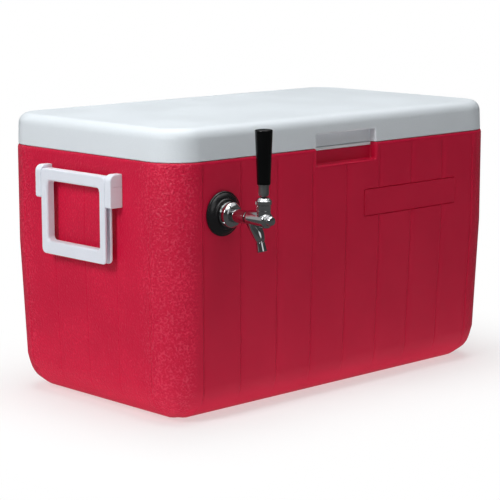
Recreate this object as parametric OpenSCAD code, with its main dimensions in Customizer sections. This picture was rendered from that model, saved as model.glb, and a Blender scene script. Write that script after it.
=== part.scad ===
// Jockey box beer cooler: an insulated chest with a hinged lid, two swing-up
// handles and a lever tap on its front wall. Beer enters through a bulkhead on
// the back wall, runs through a cooling coil that stands in the ice, and leaves
// by the tap. Millimetres. +X runs along the chest, +Y to its back, +Z up.
// The origin is on the floor, under the middle of the body.

/* [Body] */
// Length over the end walls
body_l = 650; // [560:1:780]
// Depth over the front and back walls
body_w = 364; // [350:1:440]
// Height of the rim above the floor
rim_z = 353; // [290:1:430]
// Distance below the rim at which the walls begin to draw in
bend_drop = 137; // [110:1:200]
// How far each wall has drawn in at the floor
draft_in = 7; // [0:0.5:12]
// Radius of the upright corners
corner_r = 50; // [36:1:64]
// Radius of the edge around the bottom
base_r = 52; // [36:1:64]
// Wall of the moulded outer shell
shell_t = 2.5; // [2:0.1:4]
// Depth of the upright grooves
groove_d = 1; // [0.4:0.1:1.4]
// Width of the upright grooves
groove_w = 2.4; // [1.5:0.1:4]
// Spacing of the grooves along the front and back
front_groove_pitch = 68; // [50:1:90]
// Spacing of the grooves across the ends
end_groove_pitch = 67; // [50:1:80]

/* [Tub] */
// Whole insulated wall, from the outside to the tub
wall_t = 33; // [26:0.5:40]
// Insulated floor
floor_t = 34; // [28:0.5:44]
// Wall of the inner liner
liner_t = 2; // [1.5:0.1:3.5]
// Radius of the tub's corners and of its bottom edge
tub_r = 25; // [16:1:32]
// Thickness of the liner's rim flange
flange_t = 4.5; // [3:0.5:7]

/* [Grip recess] */
// Length of the finger recess in the body and the lid
grip_l = 120; // [90:1:150]
// Depth of the finger recess into the wall
grip_depth = 12; // [8:0.5:16]
// Height of the recess in the body, below the rim
grip_drop = 24; // [16:1:34]
// Height of the recess in the lid, above the rim
grip_rise = 20; // [14:1:26]

/* [Blank panel] */
// Length of the raised blank panel
panel_l = 198; // [120:1:220]
// Height of the raised blank panel
panel_h = 38; // [24:1:48]
// How far the panel stands out
panel_t = 0.8; // [0.4:0.1:2]
// Distance of the panel's middle from the chest's middle
panel_x = 135; // [100:1:160]
// Distance of the panel's middle below the rim
panel_drop = 85; // [60:1:110]

/* [Lid] */
// Height of the lid above the rim
lid_h = 45; // [38:1:60]
// Radius of the lid's top edge
lid_edge_r = 12.5; // [6:0.5:16]
// Depth of the plug under the lid
plug_h = 12; // [6:1:20]
// Gap around the plug
plug_gap = 3; // [2:0.5:6]
// Seam between the rim and the lid
seam = 0.6; // [0.4:0.1:1.5]

/* [Hinges] */
// Distance of each hinge from the chest's middle
hinge_x = 200; // [120:1:240]
// Length of a hinge along its pin
hinge_l = 50; // [36:1:70]
// Thickness of a hinge leaf
leaf_t = 2.5; // [2:0.5:4]
// Distance of the hinge axis from the back wall
hinge_off = 8; // [7:0.5:12]
// Outer radius of the knuckles
knuckle_r = 5; // [4:0.5:6]
// Radius of the hinge pin
hinge_pin_r = 2.5; // [1.5:0.1:3]

/* [Handles] */
// Width of a handle frame
handle_w = 138; // [110:1:160]
// Height of a handle frame
handle_h = 118; // [90:1:130]
// Depth of a handle frame
handle_t = 13; // [11:0.5:16]
// Width of the frame's side arms
handle_arm = 12.5; // [10:0.5:18]
// Height of the frame's top bar
handle_top = 16.5; // [14:0.5:20]
// Height of the frame's bottom bar
handle_bottom = 18.5; // [12:0.5:24]
// Distance of the pivot from the end wall
pivot_off = 14.5; // [14:0.5:20]
// Distance of the pivot below the rim
pivot_drop = 32; // [26:1:50]
// Distance of the pivot below the frame's top
pivot_in = 8.5; // [7:0.5:10]
// Radius of the pivot pins
pivot_r = 4; // [3:0.5:5]
// Width of a handle bracket
bracket_w = 12; // [10:0.5:16]
// Height of a handle bracket
bracket_h = 45; // [36:1:60]
// How far a bracket stands out from the wall
bracket_out = 21; // [21:0.5:28]

/* [Tap] */
// Gap between the tap's big washer and the tub's corner
tap_corner_gap = 6; // [1:0.5:30]
// Distance of the tap's axis below the rim
tap_drop = 71; // [60:1:110]
// Radius of the tap shank's thread
shank_r = 11.1; // [9:0.1:12.7]
// Radius of the beer way through the shanks
beer_way_r = 4.75; // [3:0.25:5.5]
// Radius of the black cover flange on the wall
flange_r = 30; // [24:1:34]
// Distance of the lever's axis from the front wall
lever_out = 78; // [74:1:90]
// Height of the lever's ball above the tap's axis
ball_rise = 18; // [18:0.5:20]
// Radius of the lever's ball
ball_r = 5.5; // [5:0.1:5.8]
// Height of the black knob
knob_h = 71; // [50:1:110]
// Radius of the knob at its top
knob_top_r = 12.2; // [9:0.1:18]
// Radius of the knob at its foot
knob_foot_r = 8.5; // [7.5:0.1:12]

/* [Beer inlet] */
// Radius of the inlet's outside thread
inlet_r = 11.5; // [9:0.1:13]
// Length of the thread that is left free for a keg line's nut
inlet_free = 14; // [10:1:20]

/* [Cooling coil] */
// Outside diameter of the coil's tube
coil_tube = 7.94; // [6:0.01:9.6]
// Mean radius of the coil
coil_r = 101; // [80:1:104]
// Height gained in each turn
coil_pitch = 9.4; // [8.6:0.1:12]
// Most turns that the coil has
coil_turns_max = 24; // [6:1:24]

/* [Drain] */
// Height of the drain's axis above the floor
drain_z = 59; // [54:1:90]
// Radius of the drain spout's thread
drain_r = 13.2; // [11:0.1:14]
// Radius of the drain's bore
drain_bore_r = 9; // [6:0.5:10]

/* [Hidden] */

// Clearances
run_gap = 0.05;      // a pin or a thread that turns in its bore
slip_gap = 0.2;      // a piece passed through a hole, or foam beside a skin
seat_gap = 0.3;      // pieces of different bodies that lie beside each other
pin_hold_gap = 0.02; // a pin held by its bore

hull_fn = 32;

half_l = body_l / 2;
half_w = body_w / 2;
bend_z = rim_z - bend_drop;
big_washer_r = 23;
tap_x = -half_l + wall_t + tub_r + big_washer_r + tap_corner_gap;
tap_z = rim_z - tap_drop;

// Grip recess
grip_pan_t = shell_t;

// Lid
lid_z = rim_z + seam;
lid_top = rim_z + lid_h;
lid_pan_t = 2.4;

// Hinges
hinge_y = half_w + hinge_off;
leaf_h = 28;
leaf_clear = 8;
knuckle_mid = 17.4;
screw_r = 1.9;
screw_head_r = 3.6;
screw_head_t = 2;
screw_l = 14;
screw_span = 30;

// Handles
handle_off = pivot_off - handle_t / 2;
pivot_z = rim_z - pivot_drop;
handle_top_z = pivot_z + pivot_in;
handle_mid_z = handle_top_z - handle_h / 2;
channel_w = 6.5;
channel_d = 5;
channel_top_z = pivot_z - 14;
pivot_l = 8;
bracket_y = handle_w / 2 + seat_gap;
bracket_top_z = pivot_z + 12;
stud_r = 4;
stud_l = 9;
stud_zs = [bracket_top_z - 11, bracket_top_z - bracket_h + 11];

// Tap: distances outward from the front wall
cover_t = 9.5;
collar_r = 16;
collar_t = 1.5;
spigot_r = 14.3;
spigot_end = cover_t + 7.5;
coupling_washer_t = 1;
rear_flange_s = spigot_end + coupling_washer_t;
rear_flange_t = 2.5;
rear_flange_r = 13.6;
neck_r = 9;
barrel_r = 10.5;
barrel_s = lever_out - 30;
barrel_end_s = lever_out + 7;
valve_seat_s = rear_flange_s + 8;
valve_bore_r = 5.6;
valve_room_r = 8.2;
tower_r = 9.3;
tower_top = ball_rise + 2;
tower_bore_r = 7.6;
tower_low_bore_r = 7;
thread_top_r = 8.6;
ledge_h = ball_rise - 7.5;
bonnet_r = 10.5;
dome_r = 13;
lever_tilt = 20;
lever_stem_r = 2.6;
lever_tail_r = 1.9;
lever_tip_r = 2.9;
slot_run = dome_r * sin(lever_tilt) + slip_gap;
valve_rod_r = 2.6;
valve_stop_s = valve_seat_s - seat_gap;
valve_washer_t = 2.4;
valve_nut_t = 2;
ferrule_h = 14.6;
ferrule_foot = ball_rise + dome_r + 0.4;
knob_foot = ferrule_foot + ferrule_h;
insert_r = 4.5;
insert_h = 18;
spout_way_r = 4.5;
spout_elbow = [lever_out - 8, -23.5];
spout_tip = [lever_out - 3, -42];
elbow_r = 7.4;

// Shanks: distances inward from the inner face of the wall
big_washer_t = 4;
lock_nut_t = 8;
lock_nut_r = 18.5;
shank_in = 24;
tail_washer_t = 1.5;
tail_flange_t = 2.5;
tail_flange_r = 8.5;
tail_l = 27;
tail_r = 3.6;
barb_r = 4;
tail_way_r = 2.4;
tail_nut_r = 15;
tail_nut_t = 14;
tail_lip_t = 3;
barb_end = wall_t + shank_in + tail_washer_t + tail_flange_t + tail_l;

// Beer inlet: distances outward from the back wall
inlet_cover_t = 3;
inlet_cover_r = 24;
inlet_hex_t = 4;
inlet_hex_r = 18;
inlet_out = inlet_cover_t + inlet_hex_t + inlet_free;

// Cooling coil
coil_x = tap_x + coil_r;
coil_space = tap_z - floor_t - coil_tube - 6;
coil_turns = min(coil_turns_max, floor(coil_space / coil_pitch));
coil_z = tap_z - coil_turns * coil_pitch;
coil_sides = 6;
coil_rings = 24;
coil_tail = 52;
riser_y = 45;
riser_bend = 20;
riser_tail = 20;
strap_angles = [45, 135, 225, 315];
strap_w = 14;
strap_t = 1.2;
strap_gap = 1.1;

// Hoses
hose_r = 6.5;
hose_bore_r = 4.05;
hose_on_barb = 20;
hose_on_tube = 15;
clamp_w = 8;
clamp_t = 0.8;

// Drain
drain_face = half_l - 4;
drain_pad_r = 22;
drain_flange_r = 18;
drain_low = floor_t + tub_r - drain_z + drain_flange_r + 1;
drain_inner_face = half_l - wall_t - draft_in - 4
    - max(0, tub_r - 4 - sqrt(max(0, pow(tub_r, 2) - pow(max(0, drain_low), 2))));
drain_flange_t = 3;
drain_gasket_t = 2;
drain_nut_r = 19;
drain_nut_t = 5;
drain_out = 19;
drain_washer_t = 2;
drain_cap_r = 17;
drain_cap_end_t = 3;

// A rectangle with round corners
module rounded_rect(l, w, r) {
    square([l - 2 * r, w], center = true);
    square([l, w - 2 * r], center = true);
    for (sx = [-1, 1], sy = [-1, 1])
        translate([sx * (l / 2 - r), sy * (w / 2 - r)]) circle(r);
}

// The chest's own block, drawn in on all sides by inset
module chest_block(inset, floor_h, top_z, upright_r, edge_r) {
    x = half_l - inset;
    y = half_w - inset;
    flat_x = x - draft_in - edge_r;
    flat_y = y - draft_in - edge_r;
    hull() {
        for (sx = [-1, 1], sy = [-1, 1]) {
            translate([sx * (x - upright_r), sy * (y - upright_r), bend_z])
                cylinder(r = upright_r, h = top_z - bend_z, $fn = hull_fn);
            translate([sx * flat_x, sy * flat_y, floor_h + edge_r])
                sphere(r = edge_r, $fn = hull_fn);
        }
        translate([-flat_x, -flat_y, floor_h]) cube([2 * flat_x, 2 * flat_y, 1]);
    }
}

// Tub space, grown outward by skin
module tub_block(skin, top_z) {
    chest_block(wall_t - skin, floor_t - skin, top_z, tub_r + skin, tub_r + skin);
}

// Places a shape drawn outward along +Z on the front wall at the tap
module at_tap() {
    translate([tap_x, -half_w, tap_z]) rotate([90, 0, 0]) children();
}

// Places a shape drawn outward along +Z on the back wall at the inlet
module at_inlet() {
    translate([tap_x, half_w, tap_z]) rotate([-90, 0, 0]) children();
}

// Places a shape drawn outward along +Z on the right end wall at the drain
module at_drain(x) {
    translate([x, 0, drain_z]) rotate([0, 90, 0]) children();
}

// A straight tube or ring along Z
module ring(outer, bore, low, high) {
    difference() {
        translate([0, 0, low]) cylinder(r = outer, h = high - low);
        translate([0, 0, low - 1]) cylinder(r = bore, h = high - low + 2);
    }
}

// A hexagon nut along Z
module hex_nut(r, bore, low, high) {
    difference() {
        translate([0, 0, low]) cylinder(r = r, h = high - low, $fn = 6);
        translate([0, 0, low - 1]) cylinder(r = bore, h = high - low + 2);
    }
}

// Extrudes a (Y, Z) outline along X
module along_x(x0, x1) {
    translate([x0, 0, 0]) rotate([90, 0, 90]) linear_extrude(x1 - x0) children();
}

// Thin upright slabs where the grooves run, following the drawn-in walls
module groove_slabs() {
    reach = 20;
    low = base_r * 0.7;
    fan = draft_in / (bend_z - base_r);
    for (i = [-4:4], side = [-1, 1]) {
        x = i * front_groove_pitch;
        translate([x, side * half_w, bend_z]) {
            translate([-groove_w / 2, -reach, 0]) cube([groove_w, 2 * reach, rim_z - bend_z + 1]);
            rotate([0, atan(fan * x / half_l), 0])
                translate([-groove_w / 2, -reach, low - bend_z])
                    cube([groove_w, 2 * reach, bend_z - low]);
        }
    }
    for (i = [-2:2], side = [-1, 1]) {
        y = i * end_groove_pitch;
        translate([side * half_l, y, bend_z]) {
            translate([-reach, -groove_w / 2, 0]) cube([2 * reach, groove_w, rim_z - bend_z + 1]);
            rotate([-atan(fan * y / half_w), 0, 0])
                translate([-reach, -groove_w / 2, low - bend_z])
                    cube([2 * reach, groove_w, bend_z - low]);
        }
    }
}

// The grip recess as a block from the front wall inward, grown by skin
module grip_block(skin, z0, z1) {
    translate([-grip_l / 2 - skin, -half_w - 5, z0])
        cube([grip_l + 2 * skin, 5 + grip_depth + skin, z1 - z0]);
}

// Holes through the insulated walls, with a clearance
module wall_holes(gap) {
    depth = wall_t + draft_in + 8;
    at_tap() translate([0, 0, -wall_t - 1]) cylinder(r = shank_r + gap, h = wall_t + 2);
    at_inlet() translate([0, 0, -wall_t - 1]) cylinder(r = inlet_r + gap, h = wall_t + 2);
    at_drain(drain_inner_face - 8) cylinder(r = drain_r + gap, h = depth + 8);
}

// Holes for the bracket studs and the hinge screws
module fixing_holes(gap) {
    for (side = [-1, 1], end = [-1, 1], z = stud_zs)
        translate([side * (half_l - stud_l - 1), end * (bracket_y + bracket_w / 2), z])
            rotate([0, side * 90, 0]) cylinder(r = stud_r + gap, h = stud_l + 2);
    for (hx = [-1, 1], sx = [-1, 1])
        translate([hx * hinge_x + sx * screw_span / 2, half_w - screw_l, rim_z - leaf_clear - leaf_h / 2])
            rotate([-90, 0, 0]) cylinder(r = screw_r + gap, h = screw_l + 1);
}

module outer_shell() color([0.80, 0.10, 0.19]) {
    difference() {
        union() {
            difference() {
                chest_block(0, 0, rim_z, corner_r, base_r);
                chest_block(shell_t, shell_t, rim_z + 1, corner_r - shell_t, base_r - shell_t);
                intersection() {
                    groove_slabs();
                    difference() {
                        translate([-body_l, -body_w, 0]) cube([2 * body_l, 2 * body_w, rim_z + 1]);
                        chest_block(groove_d, groove_d, rim_z + 2, corner_r, base_r);
                    }
                }
            }
            translate([-grip_l / 2 - grip_pan_t, -half_w + groove_d, rim_z - grip_drop - grip_pan_t])
                cube([
                    grip_l + 2 * grip_pan_t,
                    grip_depth + grip_pan_t - groove_d,
                    grip_drop + grip_pan_t - flange_t
                ]);
            translate([-grip_l / 2 - grip_pan_t, -half_w, rim_z - grip_drop - grip_pan_t])
                cube([grip_l + 2 * grip_pan_t, shell_t, grip_drop + grip_pan_t]);
            translate([panel_x, -half_w + shell_t / 2, rim_z - panel_drop])
                rotate([90, 0, 0])
                    linear_extrude(shell_t / 2 + panel_t) rounded_rect(panel_l, panel_h, 4);
            at_drain(drain_face - 4) cylinder(r = drain_pad_r, h = 4);
        }
        grip_block(0, rim_z - grip_drop, rim_z + 1);
        wall_holes(slip_gap);
        fixing_holes(slip_gap / 4);
    }
}

module insulation() color([0.93, 0.88, 0.70]) {
    top = rim_z - flange_t - slip_gap;
    difference() {
        chest_block(
            shell_t + slip_gap, shell_t + slip_gap, top,
            corner_r - shell_t - slip_gap, base_r - shell_t - slip_gap
        );
        tub_block(liner_t + slip_gap, top + 1);
        grip_block(grip_pan_t + slip_gap, rim_z - grip_drop - grip_pan_t - slip_gap, top + 1);
        wall_holes(2 * slip_gap);
        fixing_holes(2 * slip_gap);
        at_drain(drain_inner_face - 8)
            cylinder(r = drain_pad_r + slip_gap, h = half_l - wall_t + liner_t - drain_inner_face + 8 + slip_gap);
        at_drain(drain_face - 4 - slip_gap) cylinder(r = drain_pad_r + slip_gap, h = 12);
    }
}

module inner_liner() color([0.92, 0.93, 0.94]) {
    flange_inset = shell_t + seat_gap;
    drain_pad_l = half_l - wall_t + liner_t - drain_inner_face;
    difference() {
        union() {
            tub_block(liner_t, rim_z);
            translate([0, 0, rim_z - flange_t]) linear_extrude(flange_t)
                rounded_rect(body_l - 2 * flange_inset, body_w - 2 * flange_inset, corner_r - flange_inset);
            at_drain(drain_inner_face) cylinder(r = drain_pad_r, h = drain_pad_l);
        }
        difference() {
            tub_block(0, rim_z + 1);
            at_drain(drain_inner_face) cylinder(r = drain_pad_r, h = drain_pad_l);
        }
        grip_block(0, rim_z - flange_t - 1, rim_z + 1);
        wall_holes(slip_gap);
        fixing_holes(slip_gap);
    }
}

// Outside of the lid, drawn in by inset, with a rounded top edge
module lid_block(inset, z0, top_z) {
    r = corner_r - inset;
    edge = max(lid_edge_r - inset, 1);
    hull() for (sx = [-1, 1], sy = [-1, 1])
        translate([sx * (half_l - corner_r), sy * (half_w - corner_r), 0]) {
            translate([0, 0, z0]) cylinder(r = r, h = top_z - edge - z0, $fn = hull_fn);
            translate([0, 0, top_z - edge]) rotate_extrude($fn = hull_fn)
                intersection() {
                    translate([r - edge, 0]) circle(edge, $fn = hull_fn);
                    square([r + 1, edge + 1]);
                }
        }
}

// The lid's share of the grip recess, drawn outside the front wall and in
module lid_grip(skin) {
    translate([-grip_l / 2 - skin, -half_w - 5, lid_z - 1])
        cube([grip_l + 2 * skin, 5 + grip_depth + skin, grip_rise - seam + 1 + skin]);
}

module lid_fixing_holes(gap) {
    for (hx = [-1, 1], sx = [-1, 1])
        translate([hx * hinge_x + sx * screw_span / 2, half_w - screw_l, rim_z + leaf_clear + leaf_h / 2])
            rotate([-90, 0, 0]) cylinder(r = screw_r + gap, h = screw_l + 1);
}

module lid_shell() color([0.84, 0.86, 0.88]) {
    difference() {
        union() {
            difference() {
                lid_block(0, lid_z, lid_top);
                lid_block(lid_pan_t, lid_z - 1, lid_top - lid_pan_t);
            }
            translate([-grip_l / 2 - lid_pan_t, -half_w, lid_z])
                cube([grip_l + 2 * lid_pan_t, grip_depth + lid_pan_t, grip_rise - seam + lid_pan_t]);
        }
        lid_grip(0);
        lid_fixing_holes(slip_gap / 4);
    }
}

module lid_insulation() color([0.93, 0.88, 0.70]) {
    inset = lid_pan_t + slip_gap;
    difference() {
        lid_block(inset, lid_z + lid_pan_t + slip_gap, lid_top - inset);
        translate([0, 0, slip_gap]) lid_grip(lid_pan_t + slip_gap);
        lid_fixing_holes(slip_gap);
    }
}

// The plug is a shallow pan that hangs into the tub under a flat skirt
module lid_liner() color([0.90, 0.91, 0.92]) {
    skirt_inset = lid_pan_t + seat_gap;
    plug_inset = wall_t + plug_gap;
    plug_l = body_l - 2 * plug_inset;
    plug_w = body_w - 2 * plug_inset;
    difference() {
        union() {
            translate([0, 0, lid_z]) linear_extrude(lid_pan_t)
                rounded_rect(body_l - 2 * skirt_inset, body_w - 2 * skirt_inset, corner_r - skirt_inset);
            translate([0, 0, lid_z - plug_h]) linear_extrude(plug_h)
                rounded_rect(plug_l, plug_w, tub_r);
        }
        translate([0, 0, lid_z - plug_h + lid_pan_t]) linear_extrude(plug_h + lid_pan_t)
            rounded_rect(plug_l - 2 * lid_pan_t, plug_w - 2 * lid_pan_t, tub_r - lid_pan_t);
        lid_grip(lid_pan_t + slip_gap);
    }
}

// Both hinges share one outline, and each piece is drawn once for each hinge
module each_hinge() {
    for (hx = [-1, 1]) translate([hx * hinge_x, 0, 0]) children();
}

module hinge_plate(z0) {
    difference() {
        translate([-hinge_l / 2, half_w, z0]) cube([hinge_l, leaf_t, leaf_h]);
        for (sx = [-1, 1])
            translate([sx * screw_span / 2, half_w - 1, z0 + leaf_h / 2])
                rotate([-90, 0, 0]) cylinder(r = screw_r + slip_gap, h = leaf_t + 2);
    }
}

module hinge_knuckle(x0, x1, z0, z1, bore) {
    difference() {
        union() {
            translate([x0, half_w, z0]) cube([x1 - x0, hinge_off, z1 - z0]);
            translate([x0, hinge_y, rim_z]) rotate([0, 90, 0]) cylinder(r = knuckle_r, h = x1 - x0);
        }
        translate([x0 - 1, hinge_y, rim_z]) rotate([0, 90, 0]) cylinder(r = bore, h = x1 - x0 + 2);
    }
}

module hinge_body_leaves() color([0.80, 0.82, 0.84]) each_hinge() {
    split = knuckle_mid / 2 + seat_gap;
    union() {
        hinge_plate(rim_z - leaf_clear - leaf_h);
        for (side = [[-hinge_l / 2, -split], [split, hinge_l / 2]])
            hinge_knuckle(side[0], side[1], rim_z - 12, rim_z, hinge_pin_r + pin_hold_gap);
    }
}

module hinge_lid_leaves() color([0.80, 0.82, 0.84]) each_hinge() {
    union() {
        hinge_plate(rim_z + leaf_clear);
        hinge_knuckle(
            -knuckle_mid / 2, knuckle_mid / 2, rim_z + 1, rim_z + 12, hinge_pin_r + run_gap
        );
    }
}

module hinge_pins() color([0.70, 0.71, 0.73]) each_hinge() {
    translate([-hinge_l / 2, hinge_y, rim_z]) rotate([0, 90, 0]) {
        cylinder(r = hinge_pin_r, h = hinge_l + 1);
        translate([0, 0, -1.5]) cylinder(r = hinge_pin_r + 1, h = 1.5);
    }
}

// A pan-head screw whose head sits on a leaf, driven towards the front
module leaf_screw() {
    rotate([90, 0, 0]) cylinder(r = screw_r, h = screw_l);
    rotate([-90, 0, 0]) difference() {
        cylinder(r1 = screw_head_r, r2 = screw_head_r - 0.8, h = screw_head_t);
        translate([-0.5, -screw_head_r + 1, screw_head_t - 0.8]) cube([1, 2 * screw_head_r - 2, 2]);
        translate([-screw_head_r + 1, -0.5, screw_head_t - 0.8]) cube([2 * screw_head_r - 2, 1, 2]);
    }
}

module hinge_body_screws() color([0.75, 0.76, 0.78]) each_hinge() {
    for (sx = [-1, 1])
        translate([sx * screw_span / 2, half_w + leaf_t, rim_z - leaf_clear - leaf_h / 2]) leaf_screw();
}

module hinge_lid_screws() color([0.75, 0.76, 0.78]) each_hinge() {
    for (sx = [-1, 1])
        translate([sx * screw_span / 2, half_w + leaf_t, rim_z + leaf_clear + leaf_h / 2]) leaf_screw();
}

// The left handle: a square frame with a channel around its outer edge
module handle_frame() {
    x0 = -half_l - handle_off - handle_t;
    open_h = handle_h - handle_top - handle_bottom;
    open_mid = (handle_bottom - handle_top) / 2;
    channel_x = x0 + 3.5;
    difference() {
        along_x(x0, x0 + handle_t)
            translate([0, handle_mid_z]) rounded_rect(handle_w, handle_h, 7);
        along_x(x0 - 1, x0 + handle_t + 1)
            translate([0, handle_mid_z + open_mid])
                rounded_rect(handle_w - 2 * handle_arm, open_h, 5);
        along_x(channel_x, channel_x + channel_w) difference() {
            translate([-handle_w, handle_mid_z - handle_h])
                square([2 * handle_w, channel_top_z - handle_mid_z + handle_h]);
            translate([0, handle_mid_z])
                rounded_rect(handle_w - 2 * channel_d, handle_h - 2 * channel_d, 4);
        }
    }
    for (side = [-1, 1])
        translate([-half_l - pivot_off, side * (handle_w / 2 - 1), pivot_z])
            rotate([-side * 90, 0, 0]) cylinder(r = pivot_r, h = 1 + seat_gap + pivot_l);
}

// One bracket: its outline is drawn in (X, Z) and runs outward along Y
module handle_bracket(side) {
    knuckle = 8;
    x1 = -half_l;
    x0 = x1 - bracket_out;
    difference() {
        union() {
            translate([0, side > 0 ? bracket_y + bracket_w : -bracket_y, 0])
                rotate([90, 0, 0]) linear_extrude(bracket_w) {
                    translate([x0, bracket_top_z - bracket_h + 3])
                        square([bracket_out, bracket_h - 3 - knuckle]);
                    translate([x0 + knuckle, bracket_top_z - knuckle - 1])
                        square([bracket_out - knuckle, knuckle + 1]);
                    translate([x0 + knuckle, bracket_top_z - knuckle]) circle(knuckle);
                    translate([x0 + 3, bracket_top_z - bracket_h]) square([bracket_out - 3, 4]);
                    translate([x0 + 3, bracket_top_z - bracket_h + 3]) circle(3);
                }
            for (z = stud_zs)
                translate([x1 - 1, side * (bracket_y + bracket_w / 2), z])
                    rotate([0, 90, 0]) cylinder(r = stud_r, h = stud_l + 1);
        }
        translate([-half_l - pivot_off, side * (bracket_y - 1), pivot_z])
            rotate([-side * 90, 0, 0]) cylinder(r = pivot_r + run_gap, h = pivot_l + 1.5);
    }
}

module handle_left() color([0.85, 0.85, 0.88]) handle_frame();
module handle_right() color([0.85, 0.85, 0.88]) mirror([1, 0, 0]) handle_frame();
module handle_brackets_left() color([0.83, 0.83, 0.86])
    for (side = [-1, 1]) handle_bracket(side);
module handle_brackets_right() color([0.83, 0.83, 0.86])
    mirror([1, 0, 0]) for (side = [-1, 1]) handle_bracket(side);

module wall_flange() color([0.08, 0.08, 0.09]) at_tap() difference() {
    union() {
        cylinder(r = flange_r, h = 3);
        translate([0, 0, 3]) cylinder(r1 = flange_r, r2 = flange_r - 5, h = 3);
        translate([0, 0, 6]) cylinder(r1 = flange_r - 5, r2 = flange_r - 11, h = 2);
        cylinder(r = flange_r - 12.5, h = cover_t);
    }
    translate([0, 0, -1]) cylinder(r = shank_r + slip_gap, h = cover_t + 2);
}

module tap_shank() color([0.78, 0.79, 0.80]) at_tap() difference() {
    union() {
        translate([0, 0, -wall_t - shank_in]) cylinder(r = shank_r, h = wall_t + shank_in + cover_t + 1);
        translate([0, 0, cover_t]) cylinder(r = collar_r, h = collar_t);
        translate([0, 0, cover_t]) cylinder(r = spigot_r, h = spigot_end - cover_t);
    }
    translate([0, 0, -wall_t - shank_in - 1]) cylinder(r = beer_way_r, h = wall_t + shank_in + 30);
    translate([0, 0, 4]) cylinder(r = valve_room_r + 0.4, h = spigot_end);
}

// The inner end of a shank: thread, washers, nuts and barbed tail along -Z
module shank_washer(r) {
    ring(big_washer_r, r + slip_gap, -wall_t - big_washer_t, -wall_t);
}

module shank_nut(r) {
    s = -wall_t - big_washer_t;
    hex_nut(max(lock_nut_r, r + 6), r + run_gap, s - lock_nut_t, s);
}

module tail_washer() {
    s = -wall_t - shank_in;
    ring(tail_flange_r - 0.5, tail_way_r + 0.4, s - tail_washer_t, s);
}

module tailpiece() {
    s = -wall_t - shank_in - tail_washer_t;
    foot = s - tail_flange_t;
    difference() {
        union() {
            translate([0, 0, foot]) cylinder(r = tail_flange_r, h = tail_flange_t);
            translate([0, 0, -barb_end]) cylinder(r = tail_r, h = foot + barb_end + 0.5);
            for (i = [0:2])
                translate([0, 0, -barb_end + 5 * i]) cylinder(r1 = tail_r, r2 = barb_r, h = 4);
        }
        translate([0, 0, -barb_end - 1]) cylinder(r = tail_way_r, h = tail_l + 10);
    }
}

module tail_nut(r) {
    foot = -wall_t - shank_in - tail_washer_t - tail_flange_t;
    difference() {
        translate([0, 0, foot - tail_lip_t]) cylinder(r = max(tail_nut_r, r + 3.5), h = tail_nut_t, $fn = 6);
        translate([0, 0, foot]) cylinder(r = r + run_gap, h = tail_nut_t);
        translate([0, 0, foot - tail_lip_t - 1]) cylinder(r = barb_r + 0.6, h = tail_lip_t + 2);
    }
}

module tap_shank_washer() color([0.12, 0.12, 0.13]) at_tap() shank_washer(shank_r);
module tap_shank_nut() color([0.80, 0.68, 0.40]) at_tap() shank_nut(shank_r);
module tap_tail_washer() color([0.25, 0.25, 0.26]) at_tap() tail_washer();
module tap_tailpiece() color([0.78, 0.79, 0.80]) at_tap() tailpiece();
module tap_tail_nut() color([0.78, 0.79, 0.80]) at_tap() tail_nut(shank_r);

module coupling_washer() color([0.20, 0.20, 0.21]) at_tap()
    ring(rear_flange_r, valve_room_r + 0.4, spigot_end, rear_flange_s);

module coupling_nut() color([0.85, 0.86, 0.87]) at_tap() {
    nut_r = 17;
    nut_s = cover_t + collar_t + 0.5;
    lip_s = rear_flange_s + rear_flange_t;
    difference() {
        union() {
            translate([0, 0, nut_s]) cylinder(r = nut_r, h = lip_s - nut_s);
            translate([0, 0, lip_s]) cylinder(r1 = nut_r, r2 = nut_r - 4, h = 3.5);
        }
        translate([0, 0, nut_s - 1]) cylinder(r = spigot_r + run_gap, h = lip_s - nut_s + 1);
        translate([0, 0, lip_s - 1]) cylinder(r = neck_r + slip_gap, h = 6);
        for (a = [0, 120, 240])
            rotate([0, 0, a]) translate([0, nut_r, (nut_s + lip_s) / 2])
                rotate([90, 0, 0]) cylinder(r = 1.8, h = 2.2, center = true);
    }
}

// A cone between two points of the tap's upright middle plane, each [outward, up]
module tap_cone(a, b, r0, r1) {
    d = b - a;
    translate([0, a[1], a[0]]) rotate([-atan2(d[1], d[0]), 0, 0]) cylinder(r1 = r0, r2 = r1, h = norm(d));
}

module tap_link(a, b, r) {
    tap_cone(a, b, r, r);
}

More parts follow.
